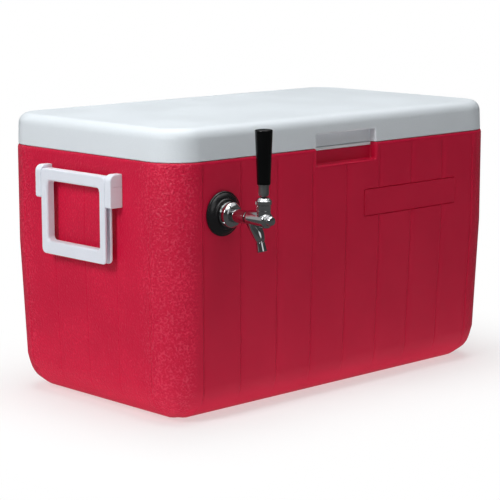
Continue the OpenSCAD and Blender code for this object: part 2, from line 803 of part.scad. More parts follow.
module tap_body() color([0.85, 0.86, 0.87]) at_tap() {
    flange_s = rear_flange_s + rear_flange_t;
    difference() {
        union() {
            rotate_extrude() polygon([
                [0, rear_flange_s], [rear_flange_r, rear_flange_s],
                [rear_flange_r, flange_s], [neck_r, flange_s],
                [neck_r, barrel_s], [barrel_r, barrel_s + 6],
                [barrel_r, barrel_end_s], [7, barrel_end_s + 3],
                [6.5, barrel_end_s + 7], [4.5, barrel_end_s + 9.5], [0, barrel_end_s + 10]
            ]);
            translate([0, 0, lever_out]) rotate([-90, 0, 0]) {
                cylinder(r = tower_r, h = tower_top);
                cylinder(r = thread_top_r, h = tower_top + 4);
            }
            tap_cone([barrel_s + 6.5, 2], spout_elbow, 8.6, elbow_r - 0.4);
            translate([0, spout_elbow[1], spout_elbow[0]]) sphere(elbow_r);
            tap_cone(spout_elbow, spout_tip, 5.4, 6.85);
        }
        translate([0, 0, rear_flange_s - 1])
            cylinder(r = valve_room_r, h = valve_seat_s - rear_flange_s + 1);
        translate([0, 0, rear_flange_s])
            cylinder(r = valve_bore_r, h = barrel_end_s - rear_flange_s);
        translate([0, 0, lever_out]) rotate([-90, 0, 0]) {
            cylinder(r = tower_low_bore_r, h = ledge_h + 1);
            translate([0, 0, ledge_h]) cylinder(r = tower_bore_r, h = 20);
        }
        tap_link([barrel_s + 8, 0], spout_elbow, spout_way_r);
        translate([0, spout_elbow[1], spout_elbow[0]]) sphere(spout_way_r + 0.6);
        tap_link(spout_elbow, spout_elbow + 1.4 * (spout_tip - spout_elbow), spout_way_r);
    }
}

// Stands a shape on the lever's own upright axis, +Z up
module at_lever() {
    translate([tap_x, -half_w - lever_out, tap_z]) children();
}

module ball_seat() color([0.90, 0.90, 0.86]) at_lever() difference() {
    translate([0, 0, ledge_h]) cylinder(r = tower_bore_r - run_gap, h = 3.7);
    translate([0, 0, ledge_h - 0.01]) cylinder(r1 = ball_r, r2 = ball_r - 1.2, h = 3.72);
}

module friction_washer() color([0.90, 0.90, 0.86]) at_lever() {
    low = ball_rise + 3.8;
    difference() {
        translate([0, 0, low]) cylinder(r = tower_bore_r - run_gap, h = 3.1);
        translate([0, 0, low - 0.01]) cylinder(r1 = ball_r - 1.2, r2 = ball_r + 0.5, h = 3.12);
    }
}

module tap_bonnet() color([0.88, 0.89, 0.90]) at_lever() difference() {
    union() {
        translate([0, 0, tower_top + slip_gap]) cylinder(r = bonnet_r, h = 5.6);
        intersection() {
            translate([0, 0, ball_rise]) sphere(dome_r);
            translate([0, 0, tower_top + 3]) cylinder(r = bonnet_r, h = 20);
        }
    }
    translate([0, 0, tower_top - 1]) cylinder(r = thread_top_r + run_gap, h = 5.2);
    translate([0, 0, tower_top + 4]) cylinder(r = tower_bore_r, h = 1);
    for (y = [0, -slot_run]) translate([0, y, tower_top]) cylinder(r = lever_stem_r + seat_gap, h = 20);
    translate([-lever_stem_r - seat_gap, -slot_run, tower_top])
        cube([2 * (lever_stem_r + seat_gap), slot_run, 20]);
}

module tap_lever() color([0.75, 0.76, 0.77]) at_lever() union() {
    translate([0, 0, ball_rise]) sphere(ball_r);
    translate([0, 0, ball_rise]) cylinder(r = lever_stem_r, h = knob_foot + insert_h - 4 - ball_rise);
    cylinder(r = lever_tail_r, h = ball_rise);
    sphere(lever_tip_r);
}

module lever_ferrule() color([0.55, 0.56, 0.57]) at_lever() difference() {
    union() {
        translate([0, 0, ferrule_foot]) cylinder(r1 = 6, r2 = 6.9, h = 3);
        translate([0, 0, ferrule_foot + 3]) cylinder(r = 6.9, h = ferrule_h - 5);
        translate([0, 0, knob_foot - 2]) cylinder(r1 = 6.9, r2 = 7.6, h = 2);
    }
    translate([0, 0, ferrule_foot - 1]) cylinder(r = lever_stem_r + run_gap, h = ferrule_h + 2);
}

module knob_insert() color([0.80, 0.66, 0.36]) at_lever()
    translate([0, 0, knob_foot]) ring(insert_r, lever_stem_r + run_gap, 0, insert_h);

module tap_knob() color([0.05, 0.05, 0.06]) at_lever() difference() {
    union() {
        translate([0, 0, knob_foot])
            cylinder(r1 = knob_foot_r, r2 = knob_top_r, h = knob_h - 3);
        translate([0, 0, knob_foot + knob_h - 3])
            cylinder(r1 = knob_top_r, r2 = knob_top_r - 2.5, h = 3);
    }
    translate([0, 0, knob_foot - 1]) cylinder(r = insert_r + run_gap, h = insert_h + 1.5);
}

// The valve shaft: a slim rod with a guided land that the lever's tip sits in
module valve_shaft() color([0.76, 0.77, 0.78]) at_tap() {
    land_s = lever_out - 12;
    land_r = valve_bore_r - run_gap;
    slot = lever_tip_r + slip_gap;
    relief_h = 1.3;
    rod_s = valve_stop_s - valve_washer_t - valve_nut_t - 1;
    difference() {
        union() {
            translate([0, 0, rod_s]) cylinder(r = valve_rod_r, h = land_s + 1 - rod_s);
            translate([0, 0, valve_stop_s]) cylinder(r = valve_bore_r - 1.2, h = 3);
            translate([0, 0, land_s]) cylinder(r = land_r, h = 3);
            translate([0, 0, land_s + 2]) cylinder(r = land_r - 1, h = 3);
            translate([0, 0, land_s + 4.5]) cylinder(r = land_r, h = 13.3);
        }
        translate([-slot, -slot - 0.2, lever_out - slot]) cube([2 * slot, 12, 2 * slot]);
        translate([-slot, relief_h, lever_out - slot]) cube([2 * slot, 10, 2 * slot + 2]);
    }
}

module valve_washer() color([0.15, 0.15, 0.16]) at_tap()
    ring(valve_room_r - 0.9, valve_rod_r + run_gap, valve_stop_s - valve_washer_t, valve_stop_s);

module valve_nut() color([0.80, 0.68, 0.40]) at_tap() {
    s = valve_stop_s - valve_washer_t;
    hex_nut(5, valve_rod_r + run_gap, s - valve_nut_t, s);
}

module inlet_flange() color([0.08, 0.08, 0.09]) at_inlet()
    ring(inlet_cover_r, inlet_r + slip_gap, 0, inlet_cover_t);

module inlet_shank() color([0.78, 0.79, 0.80]) at_inlet() difference() {
    union() {
        translate([0, 0, -wall_t - shank_in]) cylinder(r = inlet_r, h = wall_t + shank_in + inlet_out);
        translate([0, 0, inlet_cover_t]) cylinder(r = inlet_hex_r, h = inlet_hex_t, $fn = 6);
    }
    translate([0, 0, -wall_t - shank_in - 1])
        cylinder(r = beer_way_r, h = wall_t + shank_in + inlet_out + 2);
}

module inlet_shank_washer() color([0.12, 0.12, 0.13]) at_inlet() shank_washer(inlet_r);
module inlet_shank_nut() color([0.80, 0.68, 0.40]) at_inlet() shank_nut(inlet_r);
module inlet_tail_washer() color([0.25, 0.25, 0.26]) at_inlet() tail_washer();
module inlet_tailpiece() color([0.78, 0.79, 0.80]) at_inlet() tailpiece();
module inlet_tail_nut() color([0.78, 0.79, 0.80]) at_inlet() tail_nut(inlet_r);

// The coil's route: in from the inlet, down the riser, round and up, out to the tap
function arc_yz(y, z, r, a0, a1, n) =
    [for (i = [1:n]) let (a = a0 + (a1 - a0) * i / n) [tap_x, y + r * cos(a), z + r * sin(a)]];

riser_len = tap_z - coil_z - 2 * riser_bend;
coil_route = concat(
    [for (y = [riser_tail, 10, 0]) [tap_x, riser_y + riser_bend + y, tap_z]],
    arc_yz(riser_y + riser_bend, tap_z - riser_bend, riser_bend, 90, 180, 5),
    [for (i = [1:3]) [tap_x, riser_y, tap_z - riser_bend - riser_len * i / 4]],
    [[tap_x, riser_y, coil_z + riser_bend]],
    arc_yz(riser_y - riser_bend, coil_z + riser_bend, riser_bend, 0, -90, 5),
    [[tap_x, 10, coil_z]],
    [for (i = [0:coil_turns * coil_rings]) let (a = 180 + 360 * i / coil_rings)
        [coil_x + coil_r * cos(a), coil_r * sin(a), coil_z + coil_pitch * i / coil_rings]],
    [for (y = [10, coil_tail]) [tap_x, -y, tap_z]]
);

function unit(v) = v / norm(v);

function tangents(route) = let (n = len(route)) [
    for (i = [0:n - 1])
        unit(i == 0 ? route[1] - route[0]
            : i == n - 1 ? route[i] - route[i - 1]
            : unit(route[i + 1] - route[i]) + unit(route[i] - route[i - 1]))
];

// Each ring's side vector is the last ring's, laid square to the new direction
function side_vectors(dirs, first) = [
    for (i = 0, v = first; i < len(dirs);
        i = i + 1, v = i < len(dirs) ? unit(v - (v * dirs[i]) * dirs[i]) : v) v
];

module swept_tube(route, r, sides) {
    dirs = tangents(route);
    across = side_vectors(dirs, [1, 0, 0]);
    n = len(route);
    points = [
        for (i = [0:n - 1], k = [0:sides - 1])
            let (a = 360 * k / sides, up = cross(dirs[i], across[i]))
                route[i] + r * (cos(a) * across[i] + sin(a) * up)
    ];
    walls = [
        for (i = [0:n - 2], k = [0:sides - 1])
            let (a = i * sides + k, b = i * sides + (k + 1) % sides)
                each [[a, a + sides, b], [b, a + sides, b + sides]]
    ];
    caps = [
        for (k = [1:sides - 2])
            each [[0, k, k + 1], [(n - 1) * sides, (n - 1) * sides + k + 1, (n - 1) * sides + k]]
    ];
    polyhedron(points, concat(walls, caps), convexity = 10);
}

// Least distance between points that are at least half a turn apart on the route
function least_gap(route) = min([
    for (i = [0:len(route) - 1], j = [i + coil_rings / 2:len(route) - 1])
        if (j - i < coil_rings * 1.5 || i < 20) norm(route[i] - route[j])
]) - coil_tube;

module cooling_coil() color([0.72, 0.73, 0.74]) {
    echo(coil_turns = coil_turns, coil_least_gap_mm = least_gap(coil_route));
    swept_tube(coil_route, coil_tube / 2, coil_sides);
}

// Four straps hold the turns together and stand the coil on the tub's floor
module coil_straps() color([0.70, 0.71, 0.72])
    for (a = strap_angles) {
        first = coil_z + coil_pitch * ((a + 180) % 360) / 360;
        low = first - coil_tube / 2 - 0.5;
        high = first + coil_pitch * (coil_turns - 1) + coil_tube / 2 + 0.5;
        inner = coil_r - coil_tube / 2 - strap_gap - strap_t;
        outer = coil_r + coil_tube / 2 + strap_gap;
        width = outer + strap_t - inner;
        translate([coil_x, 0, 0]) rotate([0, 0, a]) union() {
            for (x = [inner, outer])
                translate([x, -strap_w / 2, floor_t]) cube([strap_t, strap_w, high + strap_t - floor_t]);
            for (z = [floor_t, low - strap_t, high])
                translate([inner, -strap_w / 2, z]) cube([width, strap_w, strap_t]);
        }
    }

// Straight beer hoses along Y, from a barb to an end of the coil
module straight_hose(y0, y1) {
    translate([tap_x, y0, tap_z]) rotate([-90, 0, 0]) ring(hose_r, hose_bore_r, 0, y1 - y0);
}

barb_tip_y = half_w - barb_end;
outlet_ys = [-barb_tip_y - hose_on_barb, -coil_tail + hose_on_tube];
inlet_ys = [riser_y + riser_bend + riser_tail - hose_on_tube, barb_tip_y + hose_on_barb];

module outlet_hose() color([0.80, 0.84, 0.86]) straight_hose(outlet_ys[0], outlet_ys[1]);
module inlet_hose() color([0.80, 0.84, 0.86]) straight_hose(inlet_ys[0], inlet_ys[1]);

// A worm clamp: a band with its screw housing on top
module hose_clamp(y) {
    band_r = hose_r + run_gap;
    translate([tap_x, y - clamp_w / 2, tap_z]) rotate([-90, 0, 0]) difference() {
        union() {
            cylinder(r = band_r + clamp_t, h = clamp_w);
            translate([-4, -band_r - 4.5, 0]) cube([8, 5, clamp_w]);
            translate([-7, -band_r - 2.5, clamp_w / 2]) rotate([0, 90, 0]) cylinder(r = 2.4, h = 12);
        }
        translate([0, 0, -1]) cylinder(r = band_r, h = clamp_w + 2);
    }
}

module hose_clamps() color([0.74, 0.75, 0.76]) {
    for (y = [outlet_ys[0] + 9, outlet_ys[1] - 8, inlet_ys[0] + 8, inlet_ys[1] - 9]) hose_clamp(y);
}

module drain_spout() color([0.90, 0.91, 0.92]) at_drain(drain_inner_face) {
    through = drain_face - drain_inner_face;
    flange_s = -drain_gasket_t - drain_flange_t;
    difference() {
        union() {
            translate([0, 0, flange_s]) cylinder(r = drain_flange_r, h = drain_flange_t);
            translate([0, 0, flange_s]) cylinder(r = drain_r, h = through + drain_out - flange_s);
        }
        translate([0, 0, flange_s - 1]) cylinder(r = drain_bore_r, h = through + 60);
    }
}

module drain_gasket() color([0.15, 0.15, 0.16]) at_drain(drain_inner_face)
    ring(drain_flange_r, drain_r + slip_gap, -drain_gasket_t, 0);

module drain_nut() color([0.90, 0.91, 0.92]) at_drain(drain_face)
    ring(drain_nut_r, drain_r + run_gap, 0, drain_nut_t);

module drain_washer() color([0.15, 0.15, 0.16]) at_drain(drain_face)
    translate([0, 0, drain_out + run_gap]) cylinder(r = drain_r, h = drain_washer_t - 2 * run_gap);

module drain_cap() color([0.90, 0.91, 0.92]) at_drain(drain_face) {
    mouth = drain_nut_t + 1;
    end = drain_out + drain_washer_t;
    difference() {
        union() {
            translate([0, 0, mouth]) cylinder(r = drain_cap_r, h = end + drain_cap_end_t - mouth);
            for (a = [0:30:330])
                rotate([0, 0, a]) translate([drain_cap_r - 0.5, -1.2, mouth + 1])
                    cube([1.5, 2.4, end + drain_cap_end_t - mouth - 2]);
        }
        translate([0, 0, mouth - 1]) cylinder(r = drain_r + run_gap, h = end - mouth + 1);
    }
}

outer_shell();
insulation();
inner_liner();
lid_shell();
lid_insulation();
lid_liner();
hinge_body_leaves();
hinge_lid_leaves();
hinge_pins();
hinge_body_screws();
hinge_lid_screws();
handle_left();
handle_right();
handle_brackets_left();
handle_brackets_right();
wall_flange();
tap_shank();
tap_shank_washer();
tap_shank_nut();
tap_tail_washer();
tap_tailpiece();
tap_tail_nut();
coupling_washer();
coupling_nut();
tap_body();
tap_bonnet();
ball_seat();
friction_washer();
tap_lever();
lever_ferrule();
knob_insert();
tap_knob();
valve_shaft();
valve_washer();
valve_nut();
inlet_flange();
inlet_shank();
inlet_shank_washer();
inlet_shank_nut();
inlet_tail_washer();
inlet_tailpiece();
inlet_tail_nut();
cooling_coil();
coil_straps();
outlet_hose();
inlet_hose();
hose_clamps();
drain_spout();
drain_gasket();
drain_nut();
drain_washer();
drain_cap();
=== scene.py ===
"""Jockey box beer cooler: chest, lid, tap, coil and fittings, dressed for a studio picture.

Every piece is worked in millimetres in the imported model's own frame, and is brought to
metres as it is delivered, with its place in its mesh.
"""
import logging
import math
from dataclasses import dataclass
from enum import Enum
from typing import Callable, Sequence

import bmesh
import bpy
from mathutils import Matrix, Vector


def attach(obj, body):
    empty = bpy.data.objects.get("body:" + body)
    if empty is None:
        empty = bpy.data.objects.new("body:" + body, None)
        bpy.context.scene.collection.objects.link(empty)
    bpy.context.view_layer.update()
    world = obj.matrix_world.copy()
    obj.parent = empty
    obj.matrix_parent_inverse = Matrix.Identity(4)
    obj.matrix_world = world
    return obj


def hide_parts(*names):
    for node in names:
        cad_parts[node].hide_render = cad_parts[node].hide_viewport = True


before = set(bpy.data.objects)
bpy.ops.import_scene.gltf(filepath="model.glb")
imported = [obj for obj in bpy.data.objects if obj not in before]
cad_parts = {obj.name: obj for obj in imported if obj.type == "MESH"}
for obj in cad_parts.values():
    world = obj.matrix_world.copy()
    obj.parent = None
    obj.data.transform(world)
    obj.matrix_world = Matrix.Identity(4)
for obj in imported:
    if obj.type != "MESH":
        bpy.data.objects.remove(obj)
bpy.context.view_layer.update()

LOG = logging.getLogger("jockey_box")
MM = 0.001
Colour = tuple[float, float, float]
Point = tuple[float, float, float]
Profile = Sequence[tuple[float, float]]
Ring = tuple[Point, Point, float]
FacePick = Callable[[bmesh.types.BMFace], bool]
EdgePick = Callable[[bmesh.types.BMEdge], bool]

# Sizes that several sub-assemblies share, in millimetres. The tap is at the front end of the
# beer line's axis, which runs along Y, and the inlet is at its back end.
LENGTH = 650.0
WIDTH = 364.0
CORNER = 50.0
GRIP_HALF = 60.0
GRIP_DEPTH = 12.0
FRONT_Y = -WIDTH / 2
LINE_X = -238.0
LINE_Z = 282.0
DRAIN_AT = (276.25, 0.0, 59.0)

# Tolerances of the mesh work: distances in millimetres, angles in degrees.
MERGE = 0.002
CAD_MERGE = 0.004
CAD_FLAT = 0.4
SMOOTH = 32.0

# Sockets of the colour form of the Mix node, which share their names with other forms'.
MIX_SHARE, MIX_FIRST, MIX_SECOND, MIX_RESULT = 0, 6, 7, 2


def linear(red: float, green: float, blue: float) -> Colour:
    """Turns a colour written as 0 to 255 into the linear values that shaders read.

    Args:
        red: Red, 0 to 255.
        green: Green, 0 to 255.
        blue: Blue, 0 to 255.

    Returns:
        The same colour in linear light.
    """

    def channel(value: float) -> float:
        """Undoes the display curve of one channel."""
        share = value / 255.0
        return share / 12.92 if share <= 0.04045 else ((share + 0.055) / 1.055) ** 2.4

    return channel(red), channel(green), channel(blue)


class Rides(str, Enum):
    """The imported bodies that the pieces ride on."""

    CHEST = "cooler"
    LID = "lid"
    LEFT_HANDLE = "left_handle"
    RIGHT_HANDLE = "right_handle"
    LEVER = "lever"
    VALVE = "valve"
    CAP = "cap"


class Along(Enum):
    """Which way a shape drawn along its own +Z is stood, as the rows of its turn."""

    END = ((0, 0, 1), (1, 0, 0), (0, 1, 0))
    FRONT = ((1, 0, 0), (0, 0, -1), (0, 1, 0))
    BACK = ((-1, 0, 0), (0, 0, 1), (0, 1, 0))

    def matrix(self) -> Matrix:
        """Returns the turn that takes local +Z to this direction."""
        return Matrix(self.value).to_4x4()


# ---------------------------------------------------------------- shader bench


class Signal:
    """A shader value that Python's operators work on by adding Math nodes."""

    def __init__(self, bench: "NodeBench", socket: bpy.types.NodeSocket) -> None:
        """Keeps the bench that owns the socket, and the socket."""
        self.bench = bench
        self.socket = socket

    def _maths(self, operation: str, *values: "Signal | float") -> "Signal":
        """Adds one Math node.

        Args:
            operation: The Math node's operation.
            *values: Its inputs in order.

        Returns:
            The node's result.
        """
        node = self.bench.place(
            "ShaderNodeMath", {i: v for i, v in enumerate(values)}, operation=operation
        )
        return Signal(self.bench, node.outputs[0])

    def __add__(self, other: "Signal | float") -> "Signal":
        """self + other."""
        return self._maths("ADD", self, other)

    __radd__ = __add__

    def __sub__(self, other: "Signal | float") -> "Signal":
        """self - other."""
        return self._maths("SUBTRACT", self, other)

    def __rsub__(self, other: float) -> "Signal":
        """other - self."""
        return self._maths("SUBTRACT", other, self)

    def __mul__(self, other: "Signal | float") -> "Signal":
        """self * other."""
        return self._maths("MULTIPLY", self, other)

    __rmul__ = __mul__

    def size(self) -> "Signal":
        """The value without its sign."""
        return self._maths("ABSOLUTE", self)

    def most(self, other: "Signal | float") -> "Signal":
        """The larger of two values."""
        return self._maths("MAXIMUM", self, other)

    def spread(
        self, low: float, high: float, to_low: float = 0.0, to_high: float = 1.0
    ) -> "Signal":
        """Maps a range onto another, smoothly and without passing its ends.

        Args:
            low: Input that gives to_low.
            high: Input that gives to_high.
            to_low: Output at low.
            to_high: Output at high.

        Returns:
            The mapped value.
        """
        node = self.bench.place(
            "ShaderNodeMapRange",
            {
                "Value": self, "From Min": low, "From Max": high,
                "To Min": to_low, "To Max": to_high,
            },
            interpolation_type="SMOOTHSTEP",
        )
        return Signal(self.bench, node.outputs["Result"])


class NodeBench:
    """The node tree of one material or world, with Object coordinates at hand."""

    def __init__(self, owner: bpy.types.Material | bpy.types.World) -> None:
        """Clears the owner's nodes."""
        self.owner = owner
        owner.use_nodes = True
        self.tree = owner.node_tree
        self.tree.nodes.clear()
        self._here: Signal | None = None

    def place(
        self, kind: str, inputs: dict[int | str, object] | None = None, **settings: object
    ) -> bpy.types.Node:
        """Adds one node, its settings first and then its inputs.

        Args:
            kind: The node's type.
            inputs: Values or Signals by socket name or number.
            **settings: Attributes of the node.

        Returns:
            The node.
        """
        node = self.tree.nodes.new(kind)
        for key, value in settings.items():
            setattr(node, key, value)
        for key, value in (inputs or {}).items():
            if isinstance(value, Signal):
                self.tree.links.new(value.socket, node.inputs[key])
            else:
                node.inputs[key].default_value = value
        return node

    def here(self) -> Signal:
        """Returns the Object coordinates, made once."""
        if self._here is None:
            self._here = Signal(self, self.place("ShaderNodeTexCoord").outputs["Object"])
        return self._here

    def stretched(self, scale: Point) -> Signal:
        """Stretches the Object coordinates by a factor along each axis."""
        node = self.place("ShaderNodeMapping", {"Vector": self.here(), "Scale": scale})
        return Signal(self, node.outputs["Vector"])

    def noise(
        self, size_mm: float, detail: float = 3.0, vector: Signal | None = None, rough: float = 0.5
    ) -> Signal:
        """Adds fractal noise.

        Args:
            size_mm: The size of its largest blotches.
            detail: Octaves.
            vector: Coordinates, or None for the Object's.
            rough: Share that each octave keeps.

        Returns:
            Noise from 0 to 1, mostly near 0.5.
        """
        node = self.place(
            "ShaderNodeTexNoise",
            {
                "Vector": vector or self.here(), "Scale": 1 / (size_mm * MM),
                "Detail": detail, "Roughness": rough,
            },
        )
        return Signal(self, node.outputs["Fac"])

    def cells(self, size_mm: float) -> Signal:
        """Adds Voronoi cells and returns the distance to their points."""
        node = self.place(
            "ShaderNodeTexVoronoi", {"Vector": self.here(), "Scale": 1 / (size_mm * MM)}
        )
        return Signal(self, node.outputs["Distance"])

    def along(self, axis: str) -> Signal:
        """Returns one Object coordinate in metres, by its letter."""
        node = self.place("ShaderNodeSeparateXYZ", {"Vector": self.here()})
        return Signal(self, node.outputs[axis])

    def blend(
        self, first: Colour | Signal, second: Colour | Signal, share: Signal | float
    ) -> Signal:
        """Mixes two colours.

        Args:
            first: The colour at share 0.
            second: The colour at share 1.
            share: How much of the second.

        Returns:
            The mixed colour.
        """
        first, second = (c if isinstance(c, Signal) else (*c, 1.0) for c in (first, second))
        node = self.place(
            "ShaderNodeMix", {MIX_SHARE: share, MIX_FIRST: first, MIX_SECOND: second},
            data_type="RGBA",
        )
        return Signal(self, node.outputs[MIX_RESULT])

    def relief(self, height: Signal, depth_mm: float) -> Signal:
        """Turns a height into a surface normal.

        Args:
            height: Height from 0 to 1.
            depth_mm: How far 1 stands above 0.

        Returns:
            The normal.
        """
        node = self.place(
            "ShaderNodeBump", {"Strength": 1.0, "Distance": depth_mm * MM, "Height": height}
        )
        return Signal(self, node.outputs["Normal"])

    def surface(self, **values: object) -> bpy.types.Material:
        """Ends the tree in a Principled shader.

        Args:
            **values: Its sockets, with _ for each space.

        Returns:
            The finished material.
        """
        sockets = {k.replace("_", " "): v for k, v in values.items()}
        shader = self.place("ShaderNodeBsdfPrincipled", sockets)
        self.place("ShaderNodeOutputMaterial", {"Surface": Signal(self, shader.outputs[0])})
        return self.owner


# ---------------------------------------------------------------- finishes


@dataclass(frozen=True)
class Finish:
    """What a surface is made of; each kind makes its own material once."""

    name: str
    slot: str
    colour: Colour

    def recipe(self, bench: NodeBench) -> bpy.types.Material:
        """Builds the nodes on a bench and returns the material."""
        raise NotImplementedError

    def material(self) -> bpy.types.Material:
        """Returns the material, made at its first use."""
        name = f"{self.name}_finish"
        return bpy.data.materials.get(name) or self.recipe(NodeBench(bpy.data.materials.new(name)))

    def shade(self, factor: float) -> Colour:
        """Returns the colour times a factor."""
        return tuple(min(c * factor, 1.0) for c in self.colour)


@dataclass(frozen=True)
class MouldedPlastic(Finish):
    """Moulded plastic with a fine pebble, faint flow marks and light rubbing."""

    roughness: float = 0.42
    pebble_mm: float = 2.4
    pebble_depth_mm: float = 0.06
    # random tone of the flow marks; 1.6 times it is the painted shade that darkens the pebble's
    # pits
    mottle_and_pit_shade: float = 0.08
    coat: float = 0.0
    gloss: float = 0.3

    def eased(self, bench: NodeBench, grain: Signal) -> Signal:
        """Returns the grain as it is; a kind of plastic may flatten it in places."""
        return grain

    def with_painted_glints(self, bench: NodeBench, colour: Signal, grain: Signal) -> Signal:
        """Returns the colour as it is; a kind of plastic may paint highlights on its peaks."""
        return colour

    def recipe(self, bench: NodeBench) -> bpy.types.Material:
        """Flow marks tint the colour, painted shade darkens the pebble's pits, and pebble and
        rubbing drive the roughness and the normal.

        Args:
            bench: The material's bench.

        Returns:
            The material.
        """
        flow = bench.noise(90, 4).spread(0.35, 0.65)
        pebble = bench.noise(self.pebble_mm, 2.0)
        dimple = bench.cells(self.pebble_mm * 0.8)
        rub = bench.noise(22, 6, rough=0.65).spread(0.55, 0.75)
        grain = self.eased(bench, pebble * 0.7 + dimple * 0.5)
        colour = bench.blend(self.shade(1 - self.mottle_and_pit_shade), self.shade(1 + self.mottle_and_pit_shade), flow)
        # painted shade: the pebble's low pits are painted darker
        colour = bench.blend(colour, self.shade(1 - self.mottle_and_pit_shade * 1.6), grain.spread(0.75, 0.35))
        return bench.surface(
            # the colour carries painted highlights on the grain's peaks, where a kind of plastic
            # has them
            Base_Color=self.with_painted_glints(bench, colour, grain),
            Roughness=flow * 0.06 + pebble * 0.12 + rub * 0.06 + (self.roughness - 0.1),
            Normal=bench.relief(grain, self.pebble_depth_mm),
            Coat_Weight=self.coat,
            Coat_Roughness=0.12,
            Specular_IOR_Level=self.gloss,
        )


@dataclass(frozen=True)
class ShellPlastic(MouldedPlastic):
    """The shell's plastic: smooth on the long walls, pebbled at corners and ends, with painted
    highlights on the pebble's peaks there.
    """

    smooth_half_x_m: float = 0.262
    fade_m: float = 0.035
    end_half_y_m: float = 0.1
    corner_half_y_m: float = 0.14
    end_share: float = 0.5
    # painted highlight: the lighter red that the grain's peaks are painted towards, and how much of
    # it
    painted_glint_colour: Colour = linear(236, 96, 122)
    painted_glint_share: float = 0.24

    def eased(self, bench: NodeBench, grain: Signal) -> Signal:
        """Flattens the grain on the long walls, and half of it on the ends."""
        share = bench.along("X").size().spread(
            self.smooth_half_x_m, self.smooth_half_x_m + self.fade_m
        ) * bench.along("Y").size().spread(
            self.end_half_y_m, self.corner_half_y_m, self.end_share, 1.0
        )
        return (grain - 0.5) * share + 0.5

    def with_painted_glints(self, bench: NodeBench, colour: Signal, grain: Signal) -> Signal:
        """Paints highlights on the peaks of the grain: a lighter, pinker red where light would
        glint.
        """
        return bench.blend(colour, self.painted_glint_colour, grain.spread(0.58, 0.8) * self.painted_glint_share)


@dataclass(frozen=True)
class PlatedMetal(Finish):
    """Plated or polished metal with faint smudges."""

    roughness: float = 0.07
    smudge: float = 0.08

    def recipe(self, bench: NodeBench) -> bpy.types.Material:
        """Smudges roughen and dull the plating a little.

        Args:
            bench: The material's bench.

        Returns:
            The material.
        """
        smudge = bench.noise(9, 5, rough=0.6).spread(0.45, 0.75)
        return bench.surface(
            Base_Color=bench.blend(self.colour, self.shade(0.88), smudge),
            Metallic=1.0,
            Roughness=smudge * self.smudge + self.roughness,
            Normal=bench.relief(bench.noise(0.7, 3), 0.004),
        )


@dataclass(frozen=True)
class DrawnMetal(Finish):
    """Drawn, rolled or turned metal with streaks along its working direction."""

    roughness: float = 0.3
    streak: Point = (1.0, 1.0, 12.0)

    def recipe(self, bench: NodeBench) -> bpy.types.Material:
        """Streaks run where the scale is smallest.

        Args:
            bench: The material's bench.

        Returns:
            The material.
        """
        lines = bench.noise(3.0, 4, bench.stretched(self.streak))
        stain = bench.noise(14, 4).spread(0.4, 0.75)
        colour = bench.blend(self.shade(1.06), self.shade(0.84), lines.spread(0.3, 0.7))
        colour = bench.blend(colour, self.shade(0.78), stain * 0.35)
        return bench.surface(
            Base_Color=colour,
            Metallic=1.0,
            Roughness=lines * 0.16 + stain * 0.08 + (self.roughness - 0.08),
            Normal=bench.relief(lines, 0.012),
        )


@dataclass(frozen=True)
class SealRubber(Finish):
    """Matt rubber with a dusty bloom."""

    def recipe(self, bench: NodeBench) -> bpy.types.Material:
        """A pale bloom lies over the dark rubber.

        Args:
            bench: The material's bench.

        Returns:
            The material.
        """
        bloom = bench.noise(6, 5).spread(0.45, 0.8)
        return bench.surface(
            Base_Color=bench.blend(self.colour, self.shade(2.2), bloom * 0.5),
            Roughness=bloom * 0.1 + 0.7,
            Normal=bench.relief(bench.noise(0.8, 3), 0.02),
        )


@dataclass(frozen=True)
class ClearVinyl(Finish):
    """Milky vinyl beer hose."""

    def recipe(self, bench: NodeBench) -> bpy.types.Material:
        """The milkiness varies along the hose.

        Args:
            bench: The material's bench.

        Returns:
            The material.
        """
        milk = bench.noise(11, 3).spread(0.3, 0.7)
        return bench.surface(
            Base_Color=bench.blend(self.shade(0.86), self.shade(1.05), milk),
            Roughness=milk * 0.1 + 0.16,
            Transmission_Weight=0.35,
            Coat_Weight=0.3,
            Normal=bench.relief(bench.noise(2.0, 2), 0.01),
        )


@dataclass(frozen=True)
class BlownFoam(Finish):
    """Blown foam with open cells."""

    def recipe(self, bench: NodeBench) -> bpy.types.Material:
        """Cells pit the surface, and painted shade darkens the pits.

        Args:
            bench: The material's bench.

        Returns:
            The material.
        """
        cells = bench.cells(3.2)
        return bench.surface(
            Base_Color=bench.blend(self.shade(0.82), self.colour, cells.spread(0.1, 0.6)),
            Roughness=bench.noise(8, 3) * 0.1 + 0.85,
            Normal=bench.relief(cells, 0.4),
        )


RED = ShellPlastic(
    "red_shell_plastic", "red_plastic", linear(210, 20, 62),
    roughness=0.4, pebble_mm=3.4, pebble_depth_mm=1.6, mottle_and_pit_shade=0.07, gloss=0.24,
)
LID_WHITE = MouldedPlastic(
    "white_lid_plastic", "white_plastic", linear(220, 227, 232),
    roughness=0.45, pebble_mm=2.2, pebble_depth_mm=0.03, mottle_and_pit_shade=0.012,
)
TUB_WHITE = MouldedPlastic(
    "white_tub_plastic", "liner_plastic", linear(232, 235, 238),
    roughness=0.36, pebble_mm=4.0, pebble_depth_mm=0.02, mottle_and_pit_shade=0.012,
)
HANDLE_WHITE = MouldedPlastic(
    "handle_plastic", "handle_plastic", linear(226, 231, 240),
    roughness=0.42, pebble_mm=1.8, pebble_depth_mm=0.02, mottle_and_pit_shade=0.012,
)
DRAIN_WHITE = MouldedPlastic(
    "drain_plastic", "drain_plastic", linear(228, 231, 234),
    roughness=0.4, pebble_mm=1.6, pebble_depth_mm=0.02, mottle_and_pit_shade=0.012,
)
BEARING_WHITE = MouldedPlastic(
    "bearing_plastic", "bearing_plastic", linear(232, 231, 222),
    roughness=0.34, pebble_mm=1.2, pebble_depth_mm=0.01, mottle_and_pit_shade=0.01,
)
